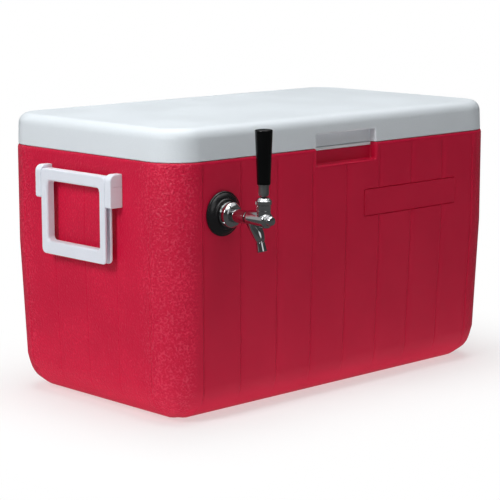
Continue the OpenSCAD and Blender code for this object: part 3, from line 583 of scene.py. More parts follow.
FLANGE_BLACK = MouldedPlastic(
    "black_flange_plastic", "black_plastic", linear(20, 20, 22),
    roughness=0.24, pebble_mm=1.0, pebble_depth_mm=0.008, mottle_and_pit_shade=0.1, coat=0.15, gloss=0.5,
)
KNOB_BLACK = MouldedPlastic(
    "black_knob_plastic", "knob_plastic", linear(4, 5, 6),
    roughness=0.16, pebble_mm=1.0, pebble_depth_mm=0.002, mottle_and_pit_shade=0.1,
)
TAP_CHROME = PlatedMetal("tap_chrome", "chrome", (0.54, 0.55, 0.56))
LEVER_STEEL = PlatedMetal(
    "lever_steel", "lever_steel", (0.56, 0.57, 0.58), roughness=0.14, smudge=0.1
)
SLEEVE_SATIN = DrawnMetal(
    "satin_sleeve", "ferrule_metal", (0.36, 0.365, 0.37), roughness=0.34, streak=(1.0, 1.0, 14.0)
)
HINGE_STEEL = DrawnMetal(
    "hinge_steel", "hinge_steel", (0.62, 0.63, 0.65), roughness=0.32, streak=(0.15, 1.0, 1.0)
)
COIL_STEEL = DrawnMetal(
    "coil_steel", "coil_steel", (0.60, 0.61, 0.63), roughness=0.26, streak=(1.0, 1.0, 3.0)
)
TURNED_BRASS = DrawnMetal(
    "turned_brass", "brass", (0.72, 0.53, 0.24), roughness=0.28, streak=(1.0, 0.2, 1.0)
)
SEAL_BLACK = SealRubber("seal_rubber", "seal_rubber", (0.018, 0.018, 0.02))
HOSE_VINYL = ClearVinyl("hose_vinyl", "hose_vinyl", linear(214, 224, 228))
FOAM = BlownFoam("blown_foam", "foam", linear(236, 222, 176))


# ---------------------------------------------------------------- mesh bench


def verts_of(geom: Sequence[object]) -> list[bmesh.types.BMVert]:
    """Picks the vertices out of what an operator made."""
    return [g for g in geom if isinstance(g, bmesh.types.BMVert)]


def edges_of(geom: Sequence[object]) -> list[bmesh.types.BMEdge]:
    """Picks the edges out of what an operator made."""
    return [g for g in geom if isinstance(g, bmesh.types.BMEdge)]


def key(at: Vector) -> tuple[float, ...]:
    """Returns a place rounded to a micrometre, to look a vertex up by."""
    return tuple(round(c, 3) for c in at)


class Stock:
    """A mesh on the bench, in millimetres, shaped with bmesh operators."""

    def __init__(self) -> None:
        """Starts with nothing on the bench."""
        self.bm = bmesh.new()

    @classmethod
    def block(cls, low: Point, high: Point) -> "Stock":
        """Starts from a block between two corners."""
        new = cls()
        size = Vector(high) - Vector(low)
        middle = (Vector(high) + Vector(low)) / 2
        matrix = Matrix.Translation(middle) @ Matrix.Diagonal((*size, 1.0))
        bmesh.ops.create_cube(new.bm, size=1.0, matrix=matrix)
        return new

    @classmethod
    def plate(
        cls, length: float, width: float, radius: float | Sequence[float] = 0.0, segments: int = 6
    ) -> "Stock":
        """Starts from one flat face at Z = 0 with round corners.

        Args:
            length: Size along local X.
            width: Size along local Y.
            radius: One corner radius, or four from the corner at -X -Y round by +X -Y.
            segments: Steps of each corner.

        Returns:
            The plate.
        """
        new = cls()
        corners = [(-1, -1), (1, -1), (1, 1), (-1, 1)]
        verts = [new.bm.verts.new((sx * length / 2, sy * width / 2, 0)) for sx, sy in corners]
        new.bm.faces.new(verts)
        radii = [radius] * 4 if isinstance(radius, (int, float)) else list(radius)
        for vert, corner_r in zip(verts, radii):
            if corner_r > 0:
                bmesh.ops.bevel(
                    new.bm, geom=[vert], offset=corner_r, offset_type="OFFSET",
                    segments=segments, profile=0.5, affect="VERTICES", material=-1,
                )
        return new

    @classmethod
    def turned(cls, profile: Profile, steps: int, closed: bool = False) -> "Stock":
        """Turns a profile about Z.

        Args:
            profile: (radius, height) points, in order.
            steps: Facets round the axis.
            closed: Whether the profile is a loop, as for a ring.

        Returns:
            The turned solid.
        """
        new = cls()
        verts = [new.bm.verts.new((r, 0, h)) for r, h in profile]
        pairs = list(zip(verts, verts[1:])) + ([(verts[-1], verts[0])] if closed else [])
        edges = [new.bm.edges.new(pair) for pair in pairs]
        bmesh.ops.spin(
            new.bm, geom=verts + edges, cent=(0, 0, 0), axis=(0, 0, 1),
            angle=2 * math.pi, steps=steps, use_merge=True,
        )
        return new.sealed()

    @classmethod
    def copy_of(cls, node: str) -> "Stock":
        """Starts from a copy of a CAD node's mesh, merged and with its flat faces made whole."""
        new = cls()
        new.bm.from_mesh(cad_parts[node].data)
        bmesh.ops.scale(new.bm, vec=(1 / MM,) * 3, verts=new.bm.verts)
        bmesh.ops.remove_doubles(new.bm, verts=new.bm.verts, dist=CAD_MERGE)
        bmesh.ops.dissolve_limit(
            new.bm, angle_limit=math.radians(CAD_FLAT), verts=new.bm.verts, edges=new.bm.edges
        )
        return new

    @classmethod
    def between(cls, *outlines: "Stock") -> "Stock":
        """Bridges flat outlines in turn, and three or more of them in a ring."""
        new = cls()
        loops: list[list[bmesh.types.BMEdge]] = []
        for outline in outlines:
            before = set(new.bm.edges)
            new.joined(outline)
            bmesh.ops.delete(new.bm, geom=new.bm.faces[:], context="FACES_ONLY")
            loops.append([e for e in new.bm.edges if e not in before])
        ring = [(loops[-1], loops[0])] if len(loops) > 2 else []
        for one, other in [*zip(loops, loops[1:]), *ring]:
            bmesh.ops.bridge_loops(new.bm, edges=[*one, *other])
        bmesh.ops.recalc_face_normals(new.bm, faces=new.bm.faces)
        return new

    def sealed(self) -> "Stock":
        """Merges doubles and points the faces outwards."""
        bmesh.ops.remove_doubles(self.bm, verts=self.bm.verts, dist=MERGE)
        bmesh.ops.dissolve_degenerate(self.bm, edges=self.bm.edges, dist=MERGE / 4)
        bmesh.ops.recalc_face_normals(self.bm, faces=self.bm.faces)
        return self

    def raised(self, height: float) -> "Stock":
        """Extrudes the flat faces into a closed solid along Z."""
        out = bmesh.ops.extrude_face_region(self.bm, geom=self.bm.faces[:])
        bmesh.ops.translate(self.bm, verts=verts_of(out["geom"]), vec=(0, 0, height))
        bmesh.ops.recalc_face_normals(self.bm, faces=self.bm.faces)
        return self

    def moved(self, x: float = 0.0, y: float = 0.0, z: float = 0.0) -> "Stock":
        """Moves everything."""
        bmesh.ops.translate(self.bm, verts=self.bm.verts, vec=(x, y, z))
        return self

    def stood(self, way: Along, at: Point = (0, 0, 0)) -> "Stock":
        """Stands the shape along a direction and moves it there."""
        matrix = Matrix.Translation(at) @ way.matrix()
        bmesh.ops.transform(self.bm, matrix=matrix, verts=self.bm.verts)
        return self

    def turned_by(self, degrees: float, axis: str) -> "Stock":
        """Turns everything about an axis through the origin."""
        matrix = Matrix.Rotation(math.radians(degrees), 3, axis)
        bmesh.ops.rotate(self.bm, verts=self.bm.verts, cent=(0, 0, 0), matrix=matrix)
        return self

    def mirrored_x(self) -> "Stock":
        """Mirrors everything across X = 0 and points the faces outwards again."""
        bmesh.ops.scale(self.bm, vec=(-1, 1, 1), verts=self.bm.verts)
        bmesh.ops.reverse_faces(self.bm, faces=self.bm.faces)
        return self

    def cut(self, at: Point, normal: Point, pick: FacePick | None = None) -> "Stock":
        """Scores the faces along a plane.

        Args:
            at: A point on the plane.
            normal: The plane's normal.
            pick: Which faces are scored, or None for all.

        Returns:
            The stock itself.
        """
        self.bm.normal_update()
        faces = [f for f in self.bm.faces if pick is None or pick(f)]
        edges = {e for f in faces for e in f.edges}
        verts = {v for f in faces for v in f.verts}
        bmesh.ops.bisect_plane(
            self.bm, geom=[*verts, *edges, *faces], dist=MERGE, plane_co=at, plane_no=normal
        )
        return self

    def softened(
        self, width: float, segments: int, angle: float, pick: EdgePick | None = None
    ) -> "Stock":
        """Rounds the edges that are sharper than an angle.

        Args:
            width: The rounding's width.
            segments: Its steps.
            angle: Least angle between an edge's faces, in degrees.
            pick: Which edges count, or None for all.

        Returns:
            The stock itself.
        """
        self.bm.normal_update()
        edges = [
            e for e in self.bm.edges
            if len(e.link_faces) == 2
            and e.calc_face_angle(0.0) > math.radians(angle)
            and (pick is None or pick(e))
        ]
        bmesh.ops.bevel(
            self.bm, geom=edges, offset=width, offset_type="OFFSET", segments=segments,
            profile=0.5, affect="EDGES", material=-1, clamp_overlap=False, loop_slide=True,
        )
        return self

    def sunk(self, pick: FacePick, by: Point) -> "Stock":
        """Extrudes some faces by a vector, as a pocket or a boss."""
        self.bm.normal_update()
        faces = [f for f in self.bm.faces if pick(f)]
        out = bmesh.ops.extrude_face_region(self.bm, geom=faces)
        bmesh.ops.translate(self.bm, verts=verts_of(out["geom"]), vec=by)
        bmesh.ops.delete(self.bm, geom=[f for f in faces if f.is_valid], context="FACES_ONLY")
        return self

    def without(self, pick: FacePick) -> "Stock":
        """Removes some faces, with the edges that only they use."""
        self.bm.normal_update()
        faces = [f for f in self.bm.faces if pick(f)]
        bmesh.ops.delete(self.bm, geom=faces, context="FACES")
        return self

    def lipped(self, steps: Profile) -> "Stock":
        """Rolls the open edges of a skin inwards.

        Args:
            steps: For each step, how far inwards and how far along Z it goes from the last.

        Returns:
            The stock itself.
        """
        self.bm.normal_update()
        edges = [e for e in self.bm.edges if e.is_boundary]
        level = {key(v.co): v.normal.copy() for e in edges for v in e.verts}
        for inwards, rise in steps:
            out = bmesh.ops.extrude_edge_only(self.bm, edges=edges)
            edges = edges_of(out["geom"])
            moved: dict[tuple[float, ...], Vector] = {}
            for vert in verts_of(out["geom"]):
                normal = level[key(vert.co)]
                flat = Vector((normal.x, normal.y, 0)).normalized()
                vert.co += Vector((0, 0, rise)) - flat * inwards
                moved[key(vert.co)] = normal
            level = moved
        bmesh.ops.recalc_face_normals(self.bm, faces=self.bm.faces)
        return self

    def walled(self, thickness: float) -> "Stock":
        """Gives an open skin a wall, inwards from its faces.

        Args:
            thickness: The wall's thickness.

        Returns:
            The stock itself, closed.
        """
        self.bm.normal_update()
        shift = {key(v.co): v.normal * -thickness for v in self.bm.verts}
        out = bmesh.ops.extrude_face_region(
            self.bm, geom=[*self.bm.verts, *self.bm.edges, *self.bm.faces], use_keep_orig=True
        )
        for vert in verts_of(out["geom"]):
            vert.co += shift[key(vert.co)]
        bmesh.ops.recalc_face_normals(self.bm, faces=self.bm.faces)
        return self

    def warped(self, shape: Callable[[Vector], Vector]) -> "Stock":
        """Moves each vertex to where shape puts it."""
        for vert in self.bm.verts:
            vert.co = shape(vert.co)
        return self

    def grown(self, rings: Sequence[Ring], sides: int) -> "Stock":
        """Grows a round solid through rings, each (centre, direction, radius).

        Args:
            rings: The rings in order.
            sides: Facets round them.

        Returns:
            The stock itself, with closed ends.
        """
        edges: list[bmesh.types.BMEdge] = []
        last = Matrix.Identity(4)
        for centre, direction, radius in rings:
            turn = Vector((0, 0, 1)).rotation_difference(Vector(direction)).to_matrix().to_4x4()
            place = Matrix.Translation(centre) @ turn @ Matrix.Diagonal((*[radius] * 3, 1.0))
            if edges:
                out = bmesh.ops.extrude_edge_only(self.bm, edges=edges)
                edges = edges_of(out["geom"])
                step = place @ last.inverted()
                bmesh.ops.transform(self.bm, matrix=step, verts=verts_of(out["geom"]))
            else:
                made = bmesh.ops.create_circle(self.bm, segments=sides, radius=1.0, matrix=place)
                edges = list({e for v in made["verts"] for e in v.link_edges})
            last = place
        return self.closed()

    def closed(self) -> "Stock":
        """Fills the holes and points the faces outwards."""
        holes = [e for e in self.bm.edges if e.is_boundary]
        bmesh.ops.holes_fill(self.bm, edges=holes, sides=0)
        bmesh.ops.recalc_face_normals(self.bm, faces=self.bm.faces)
        return self

    def joined(self, *others: "Stock") -> "Stock":
        """Takes in other stocks as they stand."""
        for other in others:
            mesh = bpy.data.meshes.new("joining")
            other.bm.to_mesh(mesh)
            self.bm.from_mesh(mesh)
            bpy.data.meshes.remove(mesh)
            other.bm.free()
        return self

    def mesh(self, name: str) -> bpy.types.Mesh:
        """Writes the mesh in metres, smooth where its faces meet at a small angle."""
        bmesh.ops.scale(self.bm, vec=(MM,) * 3, verts=self.bm.verts)
        for face in self.bm.faces:
            face.smooth = True
        mesh = bpy.data.meshes.new(name)
        self.bm.to_mesh(mesh)
        self.bm.free()
        mesh.set_sharp_from_angle(angle=math.radians(SMOOTH))
        return mesh


def as_object(stock: Stock, name: str) -> bpy.types.Object:
    """Puts a stock's mesh into the scene as an object at the origin."""
    piece = bpy.data.objects.new(name, stock.mesh(name))
    bpy.context.scene.collection.objects.link(piece)
    return piece


def carved(stock: Stock, *cutters: Stock) -> Stock:
    """Cuts closed solids out of a closed solid.

    Args:
        stock: What is cut.
        *cutters: What is taken away.

    Returns:
        New stock with the cuts made.
    """
    piece = as_object(stock, "carving")
    tools = [as_object(c, f"cutter_{i}") for i, c in enumerate(cutters)]
    for tool in tools:
        step = piece.modifiers.new("cut", "BOOLEAN")
        step.operation = "DIFFERENCE"
        step.solver = "EXACT"
        step.object = tool
    bpy.context.view_layer.update()
    shaped = piece.evaluated_get(bpy.context.evaluated_depsgraph_get()).to_mesh()
    new = Stock()
    new.bm.from_mesh(shaped)
    bmesh.ops.scale(new.bm, vec=(1 / MM,) * 3, verts=new.bm.verts)
    for gone in (piece, *tools):
        bpy.data.objects.remove(gone, do_unlink=True)
    bmesh.ops.remove_doubles(new.bm, verts=new.bm.verts, dist=MERGE)
    return new


def deliver(
    stock: Stock, name: str, body: Rides, finish: Finish, stands_for: Sequence[str] = (),
    weighted: bool = True,
) -> None:
    """Makes a piece of a stock: its finish, what it rides on and the nodes it stands for.

    Args:
        stock: The shaped mesh.
        name: The piece's name.
        body: The body that it rides on.
        finish: Its finish.
        stands_for: CAD nodes that it replaces.
        weighted: Whether large flat faces lead the shading.
    """
    piece = as_object(stock, name)
    piece.data.materials.append(finish.material())
    if weighted:
        step = piece.modifiers.new("flat faces lead", "WEIGHTED_NORMAL")
        step.keep_sharp = True
        step.weight = 80
    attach(piece, body.value)
    if stands_for:
        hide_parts(*stands_for)
    LOG.info("%s: %d faces on %s", name, len(piece.data.polygons), body.value)


def rebuilt(stock: Stock, node: str, body: Rides, finish: Finish, weighted: bool = True) -> None:
    """Delivers a new shape of a CAD node, under the node's name with _part."""
    deliver(stock, f"{node}_part", body, finish, (node,), weighted)


def dress(finish: Finish, *nodes: str) -> None:
    """Gives CAD nodes that stay a finish."""
    for node in nodes:
        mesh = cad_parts[node].data
        mesh.materials.clear()
        mesh.materials.append(finish.material())
        LOG.info("%s: CAD node in %s", node, finish.name)


def refined(node: str, body: Rides, finish: Finish, edge: float, segments: int = 2) -> None:
    """Delivers a CAD node's own shape with its edges rounded, under the node's name with _part."""
    rebuilt(Stock.copy_of(node).softened(edge, segments, 35.0), node, body, finish)


# ---------------------------------------------------------------- the chest


@dataclass
class Chest:
    """The insulated box: its outer shell, blank panel, tub and the tub's rim."""

    length: float = LENGTH
    width: float = WIDTH
    rim: float = 353.0
    bend: float = 216.0
    draft: float = 7.0
    corner: float = CORNER
    skin: float = 2.5
    wall: float = 33.0
    floor: float = 34.0
    tub_corner: float = 25.0
    tub_skin: float = 2.0
    flange_thick: float = 4.5
    grip_half: float = GRIP_HALF
    grip_depth: float = GRIP_DEPTH
    grip_drop: float = 24.0
    grip_edge: float = 3.0
    grip_clear: float = 3.1
    front_pitch: float = 68.0
    end_pitch: float = 67.0
    front_groove: Profile = ((-2.3, 0.0), (0.0, 1.5), (2.3, 0.5), (11.0, 0.0))
    end_groove: Profile = ((-1.8, 0.0), (0.0, 1.0), (1.8, 0.0))
    groove_foot: float = 14.0
    groove_fade: float = 30.0
    roll: float = 4.9
    roll_steps: Profile = ((0.2, 1.9), (0.6, 1.5), (0.85, 1.0), (0.75, 0.5))
    band: float = 3.0
    panel_x: float = 135.0
    panel_drop: float = 85.0
    pad_x: float = 321.0

    def tapered(self, half_x: float, half_y: float, low: float, top: float) -> Stock:
        """Makes an open box whose walls draw in below the bend.

        Args:
            half_x: Half its length above the bend.
            half_y: Half its width above the bend.
            low: Height of its floor.
            top: Height of its rim.

        Returns:
            The open skin, with sharp edges.
        """
        stock = Stock.block((-half_x, -half_y, low), (half_x, half_y, top))
        stock.cut((0, 0, self.bend), (0, 0, 1))
        share_x = (half_x - self.draft) / half_x
        share_y = (half_y - self.draft) / half_y
        foot = [v for v in stock.bm.verts if v.co.z < low + 1]
        bmesh.ops.scale(stock.bm, vec=(share_x, share_y, 1), verts=foot)
        return stock.without(lambda f: f.normal.z > 0.9)

    def groove(self, stock: Stock, axis: int, place: float, top: float) -> None:
        """Scores one upright groove into both walls that face an axis.

        Args:
            stock: The shell.
            axis: 1 for the front and back, 0 for the ends.
            place: Where the groove stands along the wall, above the bend.
            top: Where it begins.
        """
        along = 1 - axis
        halves = (self.length / 2, self.width / 2)
        inner = halves[axis] - self.draft - self.corner * 0.75
        lean = self.draft / (self.bend - self.corner) * place / halves[along]
        profile = self.front_groove if axis == 1 else self.end_groove

        def on_wall(face: bmesh.types.BMFace, low: float, high: float) -> bool:
            """Picks the wall's own faces between two heights, and not the grip pocket's."""
            middle = face.calc_center_median()
            in_pocket = (
                axis == 1
                and abs(middle.x) < self.grip_half + self.grip_clear
                and middle.z > self.rim - self.grip_drop - self.grip_edge
            )
            return abs(face.normal[axis]) > 0.35 and low < middle.z < high and not in_pocket

        upper, tilt, at = Vector(), Vector((0, 0, -lean)), Vector((0, 0, self.bend))
        upper[along] = tilt[along] = 1.0
        for off, _ in profile:
            at[along] = place + off
            stock.cut(at, upper, lambda f: on_wall(f, self.bend, top))
            stock.cut(at, tilt, lambda f: on_wall(f, 0, self.bend))
        for vert in stock.bm.verts:
            middle = place + (min(vert.co.z, self.bend) - self.bend) * lean
            across = vert.co[along] - middle
            depth = max((d for off, d in profile if abs(across - off) < 0.06), default=0.0)
            if depth == 0.0 or vert.co.z > top + 0.1 or abs(vert.co[axis]) < inner:
                continue
            fade = min(max((vert.co.z - self.groove_foot) / self.groove_fade, 0.0), 1.0)
            fade *= min((self.rim - self.roll - vert.co.z) / self.band, 1.0)
            vert.co[axis] -= math.copysign(depth * fade * fade * (3 - 2 * fade), vert.co[axis])

    def shell(self) -> Stock:
        """Makes the outer shell with its rolled rim, its grip pocket, its grooves and its panel."""
        half_x, half_y = self.length / 2, self.width / 2
        edge_z = self.rim - self.roll
        pocket_low = self.rim - self.grip_drop
        stock = self.tapered(half_x, half_y, 0, edge_z)
        stock.softened(self.corner, 10, 45)

        def front(face: bmesh.types.BMFace) -> bool:
            """Picks the upper part of the front wall."""
            return face.normal.y < -0.9 and face.calc_center_median().z > self.bend

        def in_pocket(at: Vector) -> bool:
            """Tells whether a place on the front wall is the grip pocket's."""
            return abs(at.x) < self.grip_half and at.z > pocket_low

        def round_pocket(edge: bmesh.types.BMEdge) -> bool:
            """Picks the edges in and round the grip pocket."""
            return all(
                abs(v.co.x) < self.grip_half + 1
                and v.co.y < -half_y + self.grip_depth + 1
                and v.co.z > pocket_low - 1
                for v in edge.verts
            )

        for x in (-self.grip_half, self.grip_half):
            stock.cut((x, 0, 0), (1, 0, 0), front)
        stock.cut((0, 0, pocket_low), (0, 0, 1), front)
        stock.sunk(
            lambda f: front(f) and in_pocket(f.calc_center_median()), (0, self.grip_depth, 0)
        )
        stock.without(lambda f: abs(f.normal.z) > 0.9 and f.calc_center_median().z > edge_z - 0.1)
        stock.softened(self.grip_edge, 4, 60, round_pocket)
        stock.cut((0, 0, edge_z - self.band), (0, 0, 1))
        for i in range(-4, 5):
            top = pocket_low - self.grip_clear if i == 0 else self.rim
            self.groove(stock, 1, i * self.front_pitch, top)
        for i in range(-2, 3):
            self.groove(stock, 0, i * self.end_pitch, self.rim)
        stock.lipped(self.roll_steps)
        stock.without(lambda f: self.over_pocket(f.calc_center_median())).walled(self.skin)
        return carved(stock, self.panel_groove()).joined(self.panel(), self.drain_pad())

    def over_pocket(self, at: Vector) -> bool:
        """Tells whether a place is on the roll behind the pocket, where the tub's rim shows."""
        back = -self.width / 2 + self.grip_depth
        return (
            abs(at.x) < self.grip_half - 0.5
            and back - 0.5 < at.y < 0
            and at.z > self.rim - self.roll + 0.1
        )

    def panel_groove(self) -> Stock:
        """Makes the cutter of the fine groove round the blank panel."""
        outlines = [
            Stock.plate(198 + 2 * grow, 38 + 2 * grow, max(3.0 + grow, 0.5), 6).moved(z=rise)
            for grow, rise in ((1.9, 0.5), (0.0, -1.3), (-1.9, 0.5))
        ]
        at = (self.panel_x, -self.width / 2, self.rim - self.panel_drop)
        return Stock.between(*outlines).stood(Along.FRONT, at)

    def panel(self) -> Stock:
        """Makes the blank panel's face, which covers the grooves that would cross it."""
        at = (self.panel_x, -self.width / 2 + 1.6, self.rim - self.panel_drop)
        return Stock.plate(196.6, 36.6, 2.4, 6).raised(1.9).stood(Along.FRONT, at)

    def drain_pad(self) -> Stock:
        """Makes the flat boss that the drain's nut seats on."""
        profile = [(0, -4), (22, -4), (22, -0.8), (21.2, 0), (0, 0)]
        return Stock.turned(profile, 64).stood(Along.END, (self.pad_x, *DRAIN_AT[1:]))

    def tub(self) -> Stock:
        """Makes the tub's skin with its drain boss."""
        half_x, half_y = self.length / 2 - self.wall, self.width / 2 - self.wall
        stock = self.tapered(half_x, half_y, self.floor, self.rim - 2.6)
        stock.softened(self.tub_corner, 8, 45)
        bmesh.ops.reverse_faces(stock.bm, faces=stock.bm.faces)
        stock.walled(self.tub_skin)
        boss = Stock.turned([(13.6, 0), (20.4, 0), (22, 1.6), (22, 11), (13.6, 11)], 64, True)
        return stock.joined(boss.stood(Along.END, DRAIN_AT))

    def rim_flange(self) -> Stock:
        """Makes the tub's rim flange, notched for the grip."""
        inset = self.skin + 0.3
        stock = Stock.between(*(
            Stock.plate(self.length - 2 * by, self.width - 2 * by, corner, 10)
            for by, corner in ((inset, self.corner - inset), (self.wall, self.tub_corner))
        ))
        back = -self.width / 2 + self.grip_depth
        half = self.grip_half + inset

        def by_grip(face: bmesh.types.BMFace) -> bool:
            """Picks the faces between the two sides of the grip."""
            return abs(face.calc_center_median().x) < half

        for x in (-half, half):
            stock.cut((x, 0, 0), (1, 0, 0))
        stock.cut((0, back, 0), (0, 1, 0), by_grip)
        stock.without(lambda f: by_grip(f) and f.calc_center_median().y < back)
        stock.raised(self.flange_thick).softened(0.8, 3, 60)
        return stock.moved(z=self.rim - self.flange_thick)

    def build(self) -> None:
        """Delivers the chest's own pieces."""
        rebuilt(self.shell(), "outer_shell", Rides.CHEST, RED)
        deliver(self.tub(), "tub_part", Rides.CHEST, TUB_WHITE, ("inner_liner",))
        deliver(self.rim_flange(), "tub_rim", Rides.CHEST, TUB_WHITE)
        dress(FOAM, "insulation")


@dataclass
class Lid:
    """The hinged lid: its outer pan and its plug."""

    length: float = LENGTH
    width: float = WIDTH
    seam: float = 353.6
    top: float = 398.0
    corner: float = CORNER
    edge: float = 15.0
    set_in: float = 1.2
    draft: float = 1.4
    skin: float = 2.4
    grip_half: float = GRIP_HALF
    grip_depth: float = GRIP_DEPTH
    grip_top: float = 373.0
    grip_edge: float = 2.4
    crown: float = 1.3
    plug_drop: float = 12.0
    foam_rise: float = 35.0

    def pan(self) -> Stock:
        """Makes the outer pan, crowned and slightly drawn in, with its grip recess."""
        half_x, half_y = self.length / 2, self.width / 2
        stock = Stock.block((-half_x, -half_y, self.seam + 1), (half_x, half_y, self.top))
        stock.without(lambda f: f.normal.z < -0.9)
        stock.softened(self.corner, 10, 45, lambda e: abs(e.verts[0].co.z - e.verts[1].co.z) > 1)
        stock.softened(self.edge, 7, 45)

        def front(face: bmesh.types.BMFace) -> bool:
            """Picks the flat part of the front wall."""
            return face.normal.y < -0.99

        def upward(face: bmesh.types.BMFace) -> bool:
            """Picks the flat part of the top."""
            return face.normal.z > 0.99

        def in_recess(at: Vector) -> bool:
            """Tells whether a place on the front wall is the grip recess's."""
            return abs(at.x) < self.grip_half and at.z < self.grip_top

        def round_recess(edge: bmesh.types.BMEdge) -> bool:
            """Picks the edges in and round the grip recess."""
            return all(
                abs(v.co.x) < self.grip_half + 1
                and v.co.y < -half_y + self.grip_depth + 1
                and v.co.z < self.grip_top + 1
                for v in edge.verts
            )

        for x in (-self.grip_half, self.grip_half):
            stock.cut((x, 0, 0), (1, 0, 0), front)
        stock.cut((0, 0, self.grip_top), (0, 0, 1), front)
        stock.sunk(
            lambda f: front(f) and in_recess(f.calc_center_median()), (0, self.grip_depth, 0)
        )
        stock.without(
            lambda f: abs(f.normal.z) > 0.9 and f.calc_center_median().z < self.seam + 1.1
        )
        stock.softened(self.grip_edge, 4, 60, round_recess)
        for i in range(-4, 5):
            stock.cut((i * 60, 0, 0), (1, 0, 0), upward)
        for i in range(-2, 3):
            stock.cut((0, i * 56, 0), (0, 1, 0), upward)

        def shaped(co: Vector) -> Vector:
            """Lets the top fall towards its edges, and draws in all sides but the back."""
            rise = max((co.z - self.seam) / (self.top - self.seam), 0.0)
            away = max(abs(co.x) / half_x, abs(co.y) / half_y)
            inset = self.set_in + self.draft * rise
            back = min(max(co.y, 0.0) / half_y, 1.0)
            return Vector((
                co.x * (1 - inset / half_x),
                co.y * (1 - inset * (1 - back) / half_y),
                co.z - self.crown * rise * away ** 3,
            ))

        return stock.warped(shaped).lipped([(0.3, -0.7), (0.8, -0.3)]).walled(self.skin)

    def plug(self) -> Stock:
        """Makes the lid's liner: a flat skirt, and the shallow plug that hangs into the tub."""
        skirt = Stock.plate(self.length - 7.4, self.width - 7.4, self.corner - 3.7, 10)
        skirt.raised(self.skin).softened(0.7, 3, 60).moved(z=self.seam)
        notch = Stock.block((-63, -200, self.seam - 2), (63, -167, self.seam + 8))
        drop = self.plug_drop
        plug = Stock.plate(578, 292, 25, 8).raised(drop).moved(z=self.seam - drop)
        plug.softened(3.0, 4, 60, lambda e: all(v.co.z < self.seam - drop + 0.1 for v in e.verts))
        groove = Stock.between(*(
            Stock.plate(length, width, corner, 8).moved(z=self.seam - depth)
            for length, width, corner, depth in (
                (524, 238, 16, 12.5), (518, 232, 13, 10.6), (512, 226, 10, 12.5),
            )
        ))
        return carved(skirt, notch).joined(carved(plug, groove))

    def foam(self) -> Stock:
        """Makes the foam between the pan and the plug."""
        rise = self.foam_rise
        stock = Stock.plate(self.length - 9, self.width - 9, self.corner - 4.5, 8).raised(rise)
        stock.softened(11, 4, 60, lambda e: all(v.co.z > rise - 0.1 for v in e.verts))
        notch = Stock.block((-64, -200, self.seam - 3), (64, -165, self.grip_top + 4))
        return carved(stock.moved(z=self.seam + 2.6), notch)

    def build(self) -> None:
        """Delivers the lid's pieces."""
        deliver(self.foam(), "lid_foam", Rides.LID, FOAM, ("lid_insulation",))
        rebuilt(self.pan(), "lid_shell", Rides.LID, LID_WHITE)
        rebuilt(self.plug(), "lid_liner", Rides.LID, TUB_WHITE)


# ---------------------------------------------------------------- the handles


